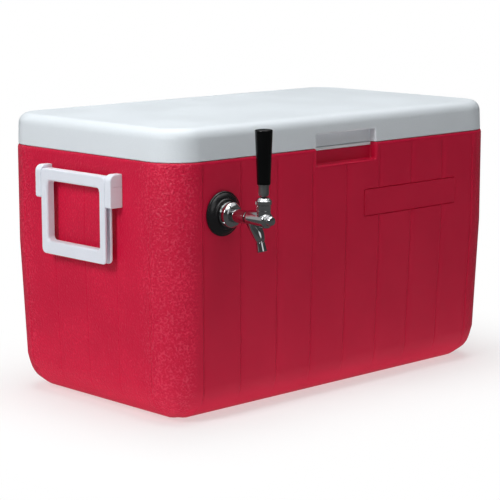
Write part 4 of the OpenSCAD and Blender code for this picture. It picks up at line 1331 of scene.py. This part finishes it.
@dataclass
class Handle:
    """A swing-up handle at the left end, and its two brackets; the right ones are its mirror."""

    width: float = 138.0
    height: float = 118.0
    top: float = 329.5
    outer_x: float = -346.0
    arm: float = 12.5
    top_bar: float = 16.5
    bottom_bar: float = 18.5
    channel: float = 8.0
    pivot_x: float = -339.5
    pivot_z: float = 321.0
    ear_low: float = 1.8
    ear_thick: float = 9.4
    bracket_x: tuple[float, float] = (-346.0, -324.8)
    bracket_z: tuple[float, float] = (288.0, 333.0)
    bracket_y: float = 69.3
    bracket_width: float = 12.0
    parting_z: float = 316.5
    stud_x: float = -325.5
    stud_z: tuple[float, float] = (299.0, 322.0)

    def ring(
        self, inset: float, low: float, high: float, radius: float, edge: float,
        window: float = 0.0,
    ) -> Stock:
        """Makes one layer of the frame, between two distances from its front.

        Args:
            inset: How far its outline is drawn in.
            low: Where it begins.
            high: Where it ends.
            radius: Its outer corners.
            edge: The rounding of its edges.
            window: The rounding of its opening's front edge, if that is its own.

        Returns:
            The layer, lying flat with its front at Z = 0.
        """
        open_w = self.width - 2 * self.arm
        open_h = self.height - self.top_bar - self.bottom_bar
        rise = (self.bottom_bar - self.top_bar) / 2
        stock = Stock.between(
            Stock.plate(self.width - 2 * inset, self.height - 2 * inset, radius, 6),
            Stock.plate(open_w, open_h, 6.5, 6).moved(y=rise),
        ).raised(high - low)

        def opening(line: bmesh.types.BMEdge) -> bool:
            """Picks the edges round the opening."""
            return all(
                abs(v.co.x) < open_w / 2 + 0.1 and abs(v.co.y - rise) < open_h / 2 + 0.1
                for v in line.verts
            )

        def opening_front(line: bmesh.types.BMEdge) -> bool:
            """Picks the opening's front edges."""
            return opening(line) and all(v.co.z < 0.01 for v in line.verts)

        if window > 0:
            stock.softened(edge, 4, 60, lambda e: not opening(e))
            stock.softened(window, 7, 60, opening_front)
        else:
            stock.softened(edge, 4, 60)
        return stock.moved(z=low)

    def frame_stock(self) -> Stock:
        """Makes the frame: a front plate, a rear flange, the web between them and its ears."""
        stock = self.ring(inset=0, low=0, high=4.2, radius=7, edge=1.9, window=4.0)
        web = self.ring(inset=self.channel, low=3.2, high=10.4, radius=4, edge=0.3)
        rear = self.ring(inset=0, low=10, high=13, radius=7, edge=0.7)
        stock.joined(web, rear)
        half_w, half_h = self.width / 2, self.height / 2
        for side in (-1, 1):
            corners = (0, 0, 6, 0) if side > 0 else (0, 0, 0, 6)
            ear = Stock.plate(13.6, 20.5, corners, 6).raised(self.ear_thick)
            stock.joined(ear.moved(side * (half_w - 6.8), half_h - 10.4, self.ear_low))
        bar = Stock.plate(self.width - 14, 8).raised(self.ear_thick)
        stock.joined(bar.moved(0, half_h - 4.2, self.ear_low))
        stock.stood(Along.END, (self.outer_x, 0, self.top - half_h))
        for side, way in ((-1, Along.FRONT), (1, Along.BACK)):
            pin = Stock.turned([(0, 0), (4, 0), (4, 8.6), (3.4, 9.2), (0, 9.2)], 40)
            stock.joined(pin.stood(way, (self.pivot_x, side * (half_w - 1), self.pivot_z)))
        return stock

    def bracket(self, side: int) -> Stock:
        """Makes a bracket: one block with a parting line scored across its outer side, on two
        studs.

        Args:
            side: 1 for the one towards the back, -1 for the front.

        Returns:
            The bracket.
        """
        (x0, x1), (low, high), width = self.bracket_x, self.bracket_z, self.bracket_width
        near = self.bracket_y if side > 0 else -self.bracket_y - width
        outer = near + width if side > 0 else near
        stock = Stock.plate(x1 - x0, high - low, (3.5, 0, 0, 9.5), 8).raised(width)
        stock.softened(1.2, 3, 55).moved((x0 + x1) / 2, (low + high) / 2)
        stock.turned_by(90, "X").moved(y=near + width)
        line = Stock.block(
            (x0 + 3, outer - 0.8, self.parting_z - 0.6), (x1 + 1, outer + 0.8, self.parting_z + 0.6)
        )
        stock = carved(stock, line)
        for z in self.stud_z:
            stud = Stock.turned([(0, 0), (4, 0), (4, 9), (3.2, 10), (0, 10)], 32)
            stock.joined(stud.stood(Along.END, (self.stud_x, near + width / 2, z)))
        return stock

    def build(self) -> None:
        """Delivers both handles and their brackets."""
        for end, body in (("left", Rides.LEFT_HANDLE), ("right", Rides.RIGHT_HANDLE)):
            handle = self.frame_stock()
            brackets = self.bracket(1).joined(self.bracket(-1))
            if end == "right":
                handle.mirrored_x()
                brackets.mirrored_x()
            rebuilt(handle, f"handle_{end}", body, HANDLE_WHITE)
            rebuilt(brackets, f"handle_brackets_{end}", Rides.CHEST, HANDLE_WHITE)


# ---------------------------------------------------------------- the tap


def thread(
    radius: float, start: float, turns: int, pitch: float = 1.9, depth: float = 0.9
) -> Profile:
    """Lists the crests and roots of thread-like grooves.

    Args:
        radius: The crests' radius.
        start: Where the first crest stands along the axis.
        turns: How many crests.
        pitch: From one crest to the next.
        depth: From the crests to the roots.

    Returns:
        (radius, height) points, in order.
    """
    points: list[tuple[float, float]] = []
    for i in range(turns):
        crest = start + i * pitch
        points += [(radius, crest), (radius - depth, crest + pitch / 2)]
    return points


def inner_end(end: str) -> None:
    """Delivers what holds a shank inside the chest, and its hose's tail, by the shank's end."""
    refined(f"{end}_shank_washer", Rides.CHEST, SEAL_BLACK, edge=0.6)
    refined(f"{end}_shank_nut", Rides.CHEST, TURNED_BRASS, edge=0.6)
    refined(f"{end}_tail_nut", Rides.CHEST, TAP_CHROME, edge=0.6)
    refined(f"{end}_tailpiece", Rides.CHEST, TAP_CHROME, edge=0.15, segments=1)


@dataclass
class Tap:
    """The lever tap on the front wall, drawn outward from the wall along local +Z."""

    x: float = LINE_X
    wall_y: float = FRONT_Y
    z: float = LINE_Z
    out: float = 78.0
    ball: float = 18.0
    ball_r: float = 5.5

    def on_wall(self, stock: Stock) -> Stock:
        """Stands a shape drawn outward along +Z on the wall."""
        return stock.stood(Along.FRONT, (self.x, self.wall_y, self.z))

    def upright(self, stock: Stock) -> Stock:
        """Stands a shape on the tap's upright axis."""
        return stock.moved(self.x, self.wall_y - self.out, self.z)

    def flange(self) -> Stock:
        """Makes the black stepped cover on the wall."""
        profile = [
            (11.4, 0), (29.2, 0), (30, 0.8), (30, 2.6), (29.4, 3.3), (27.6, 3.7), (27.1, 4.3),
            (25.6, 5.5), (23.6, 6.5), (21.4, 7.3), (20.6, 7.5), (20.2, 8.1), (19.2, 9.0),
            (17.8, 9.5), (11.4, 9.5),
        ]
        return self.on_wall(Stock.turned(profile, 96, True))

    def shank(self) -> Stock:
        """Makes the threaded shank with its collar and spigot."""
        profile = [
            (4.75, -57), (10.6, -57), (11.1, -56.4), *thread(11.1, -56, 15),
            (11.1, -27), (11.1, 9.4), (15.4, 9.4), (16, 9.9), (16, 10.6), (15.5, 11), (14.3, 11),
            (14.3, 17), (8.6, 17), (8.6, 4), (4.75, 4),
        ]
        return self.on_wall(Stock.turned(profile, 72, True))

    def nut(self) -> Stock:
        """Makes the coupling nut: a round side, a conical front and three spanner holes."""
        profile = [
            (14.4, 12), (16.5, 12), (17, 12.5), (17, 13.6), (16.7, 13.9), (16.7, 14.5),
            (17, 14.8), (17, 19.6), (16.6, 20.5), (14.4, 22.8), (13, 23.9), (12.2, 24),
            (9.25, 24), (9.25, 20.6), (14.4, 20.6),
        ]
        holes = [
            Stock.turned([(0, -1.4), (1.8, -1.4), (1.8, 1.4), (0, 1.4)], 24)
            .stood(Along.BACK, (0, 17, 17.2)).turned_by(angle, "Z")
            for angle in (0, 120, 240)
        ]
        return self.on_wall(carved(Stock.turned(profile, 96, True), *holes))

    def body(self) -> Stock:
        """Makes the tap's casting: rear flange, neck, barrel, nose, tower and spout."""
        barrel = [
            (0, 30), (8.2, 30), (8.2, 18), (13.6, 18), (13.6, 20.5), (9.0, 20.5), (9.0, 45),
            (8.9, 47.4), (9.3, 49.2), (10.0, 51), (10.4, 53), (10.5, 55), (10.5, 83.6),
            (10.2, 85.2), (9.2, 86.6), (7.4, 87.5), (6.7, 88.2), (6.6, 90.4), (6.2, 92.3),
            (5.2, 93.9), (3.4, 94.7), (0, 95),
        ]
        tower = [
            (0, 0), (9.3, 0), (9.3, 12), (9.0, 12.6), (9.0, 13.4), (9.3, 14), (9.3, 19.4),
            (8.9, 20), (8.6, 20), (8.6, 24), (7.6, 24), (7.6, 10.5), (0, 10.5),
        ]
        return self.on_wall(Stock.turned(barrel, 80).joined(
            Stock.turned(tower, 80).turned_by(-90, "X").moved(z=self.out),
            Stock().grown(self.spout_rings(), 48),
        ))

    def spout_rings(self) -> list[Ring]:
        """Lists the spout's rings: the bowl, its waist, the flared tip and the bore inside it."""
        path = [
            (54.5, 2.0, 8.4), (57.5, -3.5, 8.9), (60.6, -8.6, 9.0), (63.6, -13.2, 8.9),
            (66.4, -17.4, 8.5), (68.6, -21.2, 7.9), (70.1, -24.2, 7.2), (71.0, -26.6, 6.5),
            (71.5, -28.2, 6.1), (71.6, -28.7, 5.5), (71.9, -30.0, 5.5), (72.0, -30.5, 6.1),
            (72.6, -32.8, 6.1), (73.6, -36.6, 6.4), (74.6, -40.4, 6.75), (74.9, -41.5, 6.85),
            (75.0, -42.0, 6.6), (74.95, -41.9, 5.1), (73.4, -36, 4.5), (72.6, -33, 4.5),
        ]
        tip = 15
        rings: list[Ring] = []
        for i, (out, up, radius) in enumerate(path):
            ahead, behind = path[min(i + 1, tip)], path[max(min(i, tip) - 1, 0)]
            aim = Vector((0, ahead[1] - behind[1], ahead[0] - behind[0])).normalized()
            rings.append(((0, up, out), tuple(aim), radius))
        return rings

    def bonnet(self) -> Stock:
        """Makes the bonnet: a plain ring under a dome, slotted for the lever."""
        profile = [
            (8.65, 20.2), (10.0, 20.2), (10.5, 20.7), (10.5, 25.2), (10.1, 25.7), (9.6, 25.9),
            (9.5, 26.6), (8.6, 27.7), (7.0, 28.9), (5.0, 29.9), (2.9, 30.6), (0, 30.9),
            (0, 25), (8.65, 25),
        ]
        dome = Stock.turned(profile, 80)
        slot = Stock.plate(5.8, 10.4, 2.89, 8).raised(12).moved(0, -2.3, 23)
        return self.upright(carved(dome, slot))

    def lever(self) -> Stock:
        """Makes the lever: tip, tail, ball and stem."""
        tail_r, stem_r, ball_r = 1.9, 2.6, self.ball_r
        profile = [
            (0, -2.9), (1.6, -2.4), (2.6, -1.3), (2.9, 0), (2.6, 1.3), (tail_r, 2.2),
            (tail_r, self.ball - math.sqrt(ball_r ** 2 - tail_r ** 2)),
        ]
        for degrees in range(-60, 61, 12):
            angle = math.radians(degrees)
            profile.append((ball_r * math.cos(angle), self.ball + ball_r * math.sin(angle)))
        profile += [
            (stem_r, self.ball + math.sqrt(ball_r ** 2 - stem_r ** 2)),
            (stem_r, 59.6), (2.2, 60), (0, 60),
        ]
        return self.upright(Stock.turned(profile, 40))

    def sleeve(self) -> Stock:
        """Makes the satin sleeve under the knob."""
        profile = [
            (2.65, 31.4), (5.7, 31.4), (6.0, 31.7), (6.75, 34.0), (6.9, 34.6), (6.9, 43.4),
            (7.0, 44), (7.5, 44.9), (7.6, 45.5), (7.45, 46), (2.65, 46),
        ]
        return self.upright(Stock.turned(profile, 72, True))

    def knob(self) -> Stock:
        """Makes the flared black knob with its soft crown."""
        foot, top = 46.0, 117.0
        profile = [(4.55, foot), (7.6, foot), (8.5, foot + 0.4), (8.85, foot + 1.1)]
        for i in range(1, 12):
            share = i / 12
            profile.append((8.9 + 2.6 * share ** 1.1, foot + 1.1 + share * 67.6))
        profile += [
            (11.55, top - 1.9), (11.45, top - 1.1), (11.1, top - 0.5), (10.4, top - 0.15),
            (9.4, top), (0, top), (0, foot + 18.5), (4.55, foot + 18.5),
        ]
        return self.upright(Stock.turned(profile, 80))

    def valve(self) -> Stock:
        """Makes the valve's rod with its stop and its slotted land."""
        rod = [
            (0, 20.3), (2.2, 20.3), (2.6, 20.7), (2.6, 25.7), (4.4, 25.7), (4.4, 28.7),
            (2.6, 28.7), (2.6, 66), (5.2, 66), (5.5, 66.3), (5.5, 69), (4.5, 69), (4.5, 70.6),
            (5.5, 70.6), (5.5, 83.4), (5.1, 83.8), (0, 83.8),
        ]
        slot = Stock.block((-3.1, -3.3, 74.9), (3.1, 9, 81.1))
        relief = Stock.block((-3.1, 1.3, 74.9), (3.1, 11.5, 83.1))
        return self.on_wall(carved(Stock.turned(rod, 56), slot, relief))

    def build(self) -> None:
        """Delivers the tap's pieces, from the wall outwards and up the lever."""
        rebuilt(self.flange(), "wall_flange", Rides.CHEST, FLANGE_BLACK)
        rebuilt(self.shank(), "tap_shank", Rides.CHEST, TAP_CHROME)
        rebuilt(self.nut(), "coupling_nut", Rides.CHEST, TAP_CHROME)
        rebuilt(self.body(), "tap_body", Rides.CHEST, TAP_CHROME)
        rebuilt(self.bonnet(), "tap_bonnet", Rides.CHEST, TAP_CHROME)
        rebuilt(self.lever(), "tap_lever", Rides.LEVER, LEVER_STEEL)
        rebuilt(self.sleeve(), "lever_ferrule", Rides.LEVER, SLEEVE_SATIN)
        rebuilt(self.knob(), "tap_knob", Rides.LEVER, KNOB_BLACK)
        rebuilt(self.valve(), "valve_shaft", Rides.VALVE, LEVER_STEEL)
        inner_end("tap")
        dress(SEAL_BLACK, "tap_tail_washer", "coupling_washer", "valve_washer")
        dress(BEARING_WHITE, "ball_seat", "friction_washer")
        dress(TURNED_BRASS, "knob_insert", "valve_nut")


# ---------------------------------------------------------------- hinges, inlet, coil, drain


@dataclass
class Fittings:
    """The hinges on the back, the beer inlet behind the tap, and the drain on the right end."""

    inlet_at: Point = (LINE_X, -FRONT_Y, LINE_Z)
    hexagon_r: float = 18.0

    def hinges(self) -> None:
        """Delivers the two hinges and their screws."""
        refined("hinge_body_leaves", Rides.CHEST, HINGE_STEEL, edge=0.35)
        refined("hinge_lid_leaves", Rides.LID, HINGE_STEEL, edge=0.35)
        refined("hinge_pins", Rides.CHEST, HINGE_STEEL, edge=0.3)
        refined("hinge_body_screws", Rides.CHEST, HINGE_STEEL, edge=0.12, segments=1)
        refined("hinge_lid_screws", Rides.LID, HINGE_STEEL, edge=0.12, segments=1)

    def inlet_shank(self) -> Stock:
        """Makes the inlet's shank with a thread on each end and its hexagon."""
        profile = [
            (4.75, -57), (11, -57), (11.5, -56.4), *thread(11.5, -56, 15), (11.5, -27), (11.5, 7),
            *thread(11.5, 8.2, 6), (11.5, 19.8), (10.6, 21), (5.4, 21), (4.75, 20.4),
        ]
        hexagon = Stock()
        bmesh.ops.create_circle(hexagon.bm, cap_ends=True, segments=6, radius=self.hexagon_r)
        hexagon.raised(4).softened(0.5, 2, 25).moved(z=3)
        return Stock.turned(profile, 72, True).joined(hexagon).stood(Along.BACK, self.inlet_at)

    def inlet(self) -> None:
        """Delivers the beer inlet."""
        profile = [
            (11.7, 0), (23.4, 0), (24, 0.7), (23.8, 1.6), (22.6, 2.5), (20.8, 3), (11.7, 3),
        ]
        cover = Stock.turned(profile, 80, True).stood(Along.BACK, self.inlet_at)
        rebuilt(cover, "inlet_flange", Rides.CHEST, FLANGE_BLACK)
        rebuilt(self.inlet_shank(), "inlet_shank", Rides.CHEST, TAP_CHROME)
        inner_end("inlet")
        dress(SEAL_BLACK, "inlet_tail_washer")

    def drain(self) -> None:
        """Delivers the drain."""
        profile = [
            (9, -5), (17.2, -5), (18, -4.3), (18, -2.6), (17.4, -2), (13.2, -2), (13.2, 46),
            *thread(13.2, 46.6, 8, pitch=2.1, depth=0.7), (13.2, 63.2), (12.7, 63.75), (9, 63.75),
        ]
        spout = Stock.turned(profile, 72, True).stood(Along.END, DRAIN_AT)
        rebuilt(spout, "drain_spout", Rides.CHEST, DRAIN_WHITE)
        refined("drain_nut", Rides.CHEST, DRAIN_WHITE, edge=0.5)
        refined("drain_cap", Rides.CAP, DRAIN_WHITE, edge=0.4)
        dress(SEAL_BLACK, "drain_gasket", "drain_washer")

    def build(self) -> None:
        """Delivers them all."""
        self.hinges()
        self.inlet()
        self.drain()


@dataclass
class Cooling:
    """The coil that stands in the ice, its straps, hoses and clamps."""

    line_x: float = LINE_X
    line_z: float = LINE_Z
    radius: float = 101.0
    tube: float = 7.94
    pitch: float = 9.4
    turns: int = 24
    riser_y: float = 45.0
    bend: float = 20.0
    lead: float = 20.0
    tail: float = 52.0

    def coil(self) -> Stock:
        """Runs the tube: in from the inlet, down the riser, round and up, and out to the tap."""
        stock = Stock()
        x, high = self.line_x, self.line_z
        low = high - self.turns * self.pitch
        start = (x, self.riser_y + self.bend + self.lead, high)
        place = Matrix.Translation(start) @ Matrix.Rotation(math.radians(90), 4, "X")
        made = bmesh.ops.create_circle(stock.bm, segments=12, radius=self.tube / 2, matrix=place)
        edges = list({e for v in made["verts"] for e in v.link_edges})

        def straight(by: Point) -> None:
            """Runs the tube straight on."""
            nonlocal edges
            out = bmesh.ops.extrude_edge_only(stock.bm, edges=edges)
            edges = edges_of(out["geom"])
            bmesh.ops.translate(stock.bm, verts=verts_of(out["geom"]), vec=by)

        def bent(centre: Point, axis: Point, degrees: float, steps: int, rise: float = 0.0) -> None:
            """Bends the tube about an axis, climbing as it goes."""
            nonlocal edges
            verts = list({v for e in edges for v in e.verts})
            out = bmesh.ops.spin(
                stock.bm, geom=verts + edges, cent=centre, axis=axis, dvec=(0, 0, rise / steps),
                angle=math.radians(degrees), steps=steps,
            )
            edges = edges_of(out["geom_last"])

        straight((0, -self.lead, 0))
        bent((x, self.riser_y + self.bend, high - self.bend), (1, 0, 0), 90, 8)
        straight((0, 0, -(high - low - 2 * self.bend)))
        bent((x, self.riser_y - self.bend, low + self.bend), (1, 0, 0), -90, 8)
        straight((0, -(self.riser_y - self.bend), 0))
        bent((x + self.radius, 0, 0), (0, 0, 1), 360 * self.turns, 48 * self.turns, high - low)
        straight((0, -self.tail, 0))
        return stock.closed().sealed()

    def hose(self, low_y: float, high_y: float) -> Stock:
        """Makes a beer hose with rounded ends, between two places along Y."""
        length = high_y - low_y
        profile = [
            (4.05, 0.4), (4.5, 0), (6.0, 0), (6.5, 0.5), (6.5, length - 0.5), (6.0, length),
            (4.5, length), (4.05, length - 0.4),
        ]
        place = (self.line_x, low_y, self.line_z)
        return Stock.turned(profile, 48, True).stood(Along.BACK, place)

    def build(self) -> None:
        """Delivers the cooling's pieces."""
        rebuilt(self.coil(), "cooling_coil", Rides.CHEST, COIL_STEEL, weighted=False)
        refined("coil_straps", Rides.CHEST, COIL_STEEL, edge=0.35)
        refined("hose_clamps", Rides.CHEST, COIL_STEEL, edge=0.2, segments=1)
        rebuilt(self.hose(-114, -37), "outlet_hose", Rides.CHEST, HOSE_VINYL)
        rebuilt(self.hose(70, 114), "inlet_hose", Rides.CHEST, HOSE_VINYL)


# ---------------------------------------------------------------- the studio


@dataclass
class Studio:
    """The floor, the lamps, the white surround and the camera."""

    eye: Point = (-1.8466, -1.9251, 0.6465)
    heading: float = 0.7582
    dip: float = 0.1752
    roll: float = -0.0014
    lens: float = 131.16
    shift: tuple[float, float] = (0.0081, 0.0098)
    aim: Point = (0, 0, 0.25)
    fill: float = 0.08
    dim_side: Point = (0.35, -0.93, -0.1)
    dim_share: float = 0.06
    strip_side: Point = (-0.21, -0.92, 0.34)
    foot: tuple[float, float] = (0.318, 0.175)
    foot_glow: float = 0.7
    floor_seen: float = 0.44
    floor_lit: float = 0.56

    def camera(self) -> None:
        """Places the camera where the photograph was taken from."""
        data = bpy.data.cameras.new("studio_camera")
        data.lens = self.lens
        data.sensor_width = 36.0
        data.shift_x, data.shift_y = self.shift
        camera = bpy.data.objects.new("studio_camera", data)
        turn = (
            Matrix.Rotation(-self.heading, 4, "Z")
            @ Matrix.Rotation(math.pi / 2 - self.dip, 4, "X")
            @ Matrix.Rotation(self.roll, 4, "Z")
        )
        camera.matrix_world = Matrix.Translation(self.eye) @ turn
        bpy.context.scene.collection.objects.link(camera)
        bpy.context.scene.camera = camera

    def floor(self) -> None:
        """Lays a pale floor that turns into the white surround away from the object."""
        bench = NodeBench(bpy.data.materials.new("studio_floor"))
        path = bench.place("ShaderNodeLightPath")
        seen, soft, mirrored = (
            Signal(bench, path.outputs[f"Is {kind} Ray"])
            for kind in ("Camera", "Diffuse", "Glossy")
        )
        foot_x, foot_y = self.foot
        gap = (bench.along("X").size() - foot_x).most(bench.along("Y").size() - foot_y)
        lift = gap.spread(0.02, 0.2, self.foot_glow, 0.0) * soft + seen * 0.38 + 0.15

        def glow(strength: Signal | float) -> Signal:
            """Adds a white emission."""
            node = bench.place("ShaderNodeEmission", {"Strength": strength})
            return Signal(bench, node.outputs[0])

        def mixed(share: Signal, first: Signal, second: Signal) -> Signal:
            """Mixes two shaders."""
            node = bench.place("ShaderNodeMixShader", {0: share, 1: first, 2: second})
            return Signal(bench, node.outputs[0])

        pale = bench.blend((self.floor_seen,) * 3, (self.floor_lit,) * 3, soft)
        lit = bench.place("ShaderNodeBsdfDiffuse", {"Color": pale})
        near = bench.place("ShaderNodeAddShader", {0: Signal(bench, lit.outputs[0]), 1: glow(lift)})
        shown = mixed(gap.spread(-0.04, 0.3) * seen, Signal(bench, near.outputs[0]), glow(1.0))
        bench.place("ShaderNodeOutputMaterial", {"Surface": mixed(mirrored, shown, glow(0.1))})
        stock = Stock()
        bmesh.ops.create_circle(stock.bm, cap_ends=True, segments=96, radius=30000)
        floor = as_object(stock.moved(z=-0.6), "studio_floor_disc")
        floor.data.materials.append(bench.owner)

    def surround(self) -> None:
        """Sets the world: white to the camera, a soft fill, and a front that mirrors darker."""
        world = bpy.data.worlds.new("white_surround")
        bpy.context.scene.world = world
        bench = NodeBench(world)
        path = bench.place("ShaderNodeLightPath")
        camera, glass, gloss = (
            Signal(bench, path.outputs[f"Is {kind} Ray"])
            for kind in ("Camera", "Transmission", "Glossy")
        )
        way = Signal(bench, bench.place("ShaderNodeTexCoord").outputs["Generated"])

        def towards(side: Point) -> Signal:
            """Tells how nearly a ray goes one way, from -1 to 1."""
            inputs = {0: way, 1: side}
            node = bench.place("ShaderNodeVectorMath", inputs, operation="DOT_PRODUCT")
            return Signal(bench, node.outputs["Value"])

        side = towards(self.dim_side).spread(-0.95, -0.6, 0.5, self.dim_share)
        above = bench.place("ShaderNodeSeparateXYZ", {0: way}).outputs["Z"]
        overhead = Signal(bench, above).spread(0.5, 0.72)
        strip = towards(self.strip_side).spread(0.95, 0.99)
        mirrored = side + (1 - side) * overhead + strip
        plain = camera + glass
        strength = plain + (1 - plain) * (gloss * mirrored + (1 - gloss) * self.fill)
        inputs = {"Color": (1.0, 1.0, 1.0, 1.0), "Strength": strength}
        shader = bench.place("ShaderNodeBackground", inputs)
        bench.place("ShaderNodeOutputWorld", {"Surface": Signal(bench, shader.outputs[0])})

    def lamp(self, name: str, at: Point, size: float, power: float) -> None:
        """Hangs one soft square lamp that looks at the object.

        Args:
            name: The lamp's name.
            at: Its place in metres.
            size: Its side in metres.
            power: Its power in watts.
        """
        data = bpy.data.lights.new(name, "AREA")
        data.shape = "RECTANGLE"
        data.size = data.size_y = size
        data.energy = power
        lamp = bpy.data.objects.new(name, data)
        look = (Vector(self.aim) - Vector(at)).to_track_quat("-Z", "Y")
        lamp.matrix_world = Matrix.Translation(at) @ look.to_matrix().to_4x4()
        bpy.context.scene.collection.objects.link(lamp)

    def build(self) -> None:
        """Sets the whole studio."""
        bpy.context.scene.view_settings.view_transform = "Standard"
        self.camera()
        self.floor()
        self.surround()
        self.lamp("key_left", (-1.9, -0.27, 1.3), 0.6, 21)
        self.lamp("top_soft", (0.2, 0.2, 3.0), 2.2, 65)
        self.lamp("top_front_soft", (-0.6, -1.2, 2.5), 1.6, 13)


def main() -> None:
    """Builds the studio and the object."""
    logging.basicConfig(level=logging.INFO, format="%(name)s %(message)s")
    Studio().build()
    for part in (Chest(), Lid(), Handle(), Tap(), Fittings(), Cooling()):
        part.build()
        LOG.info("%s is done", type(part).__name__)


if __name__ == "__main__":
    main()
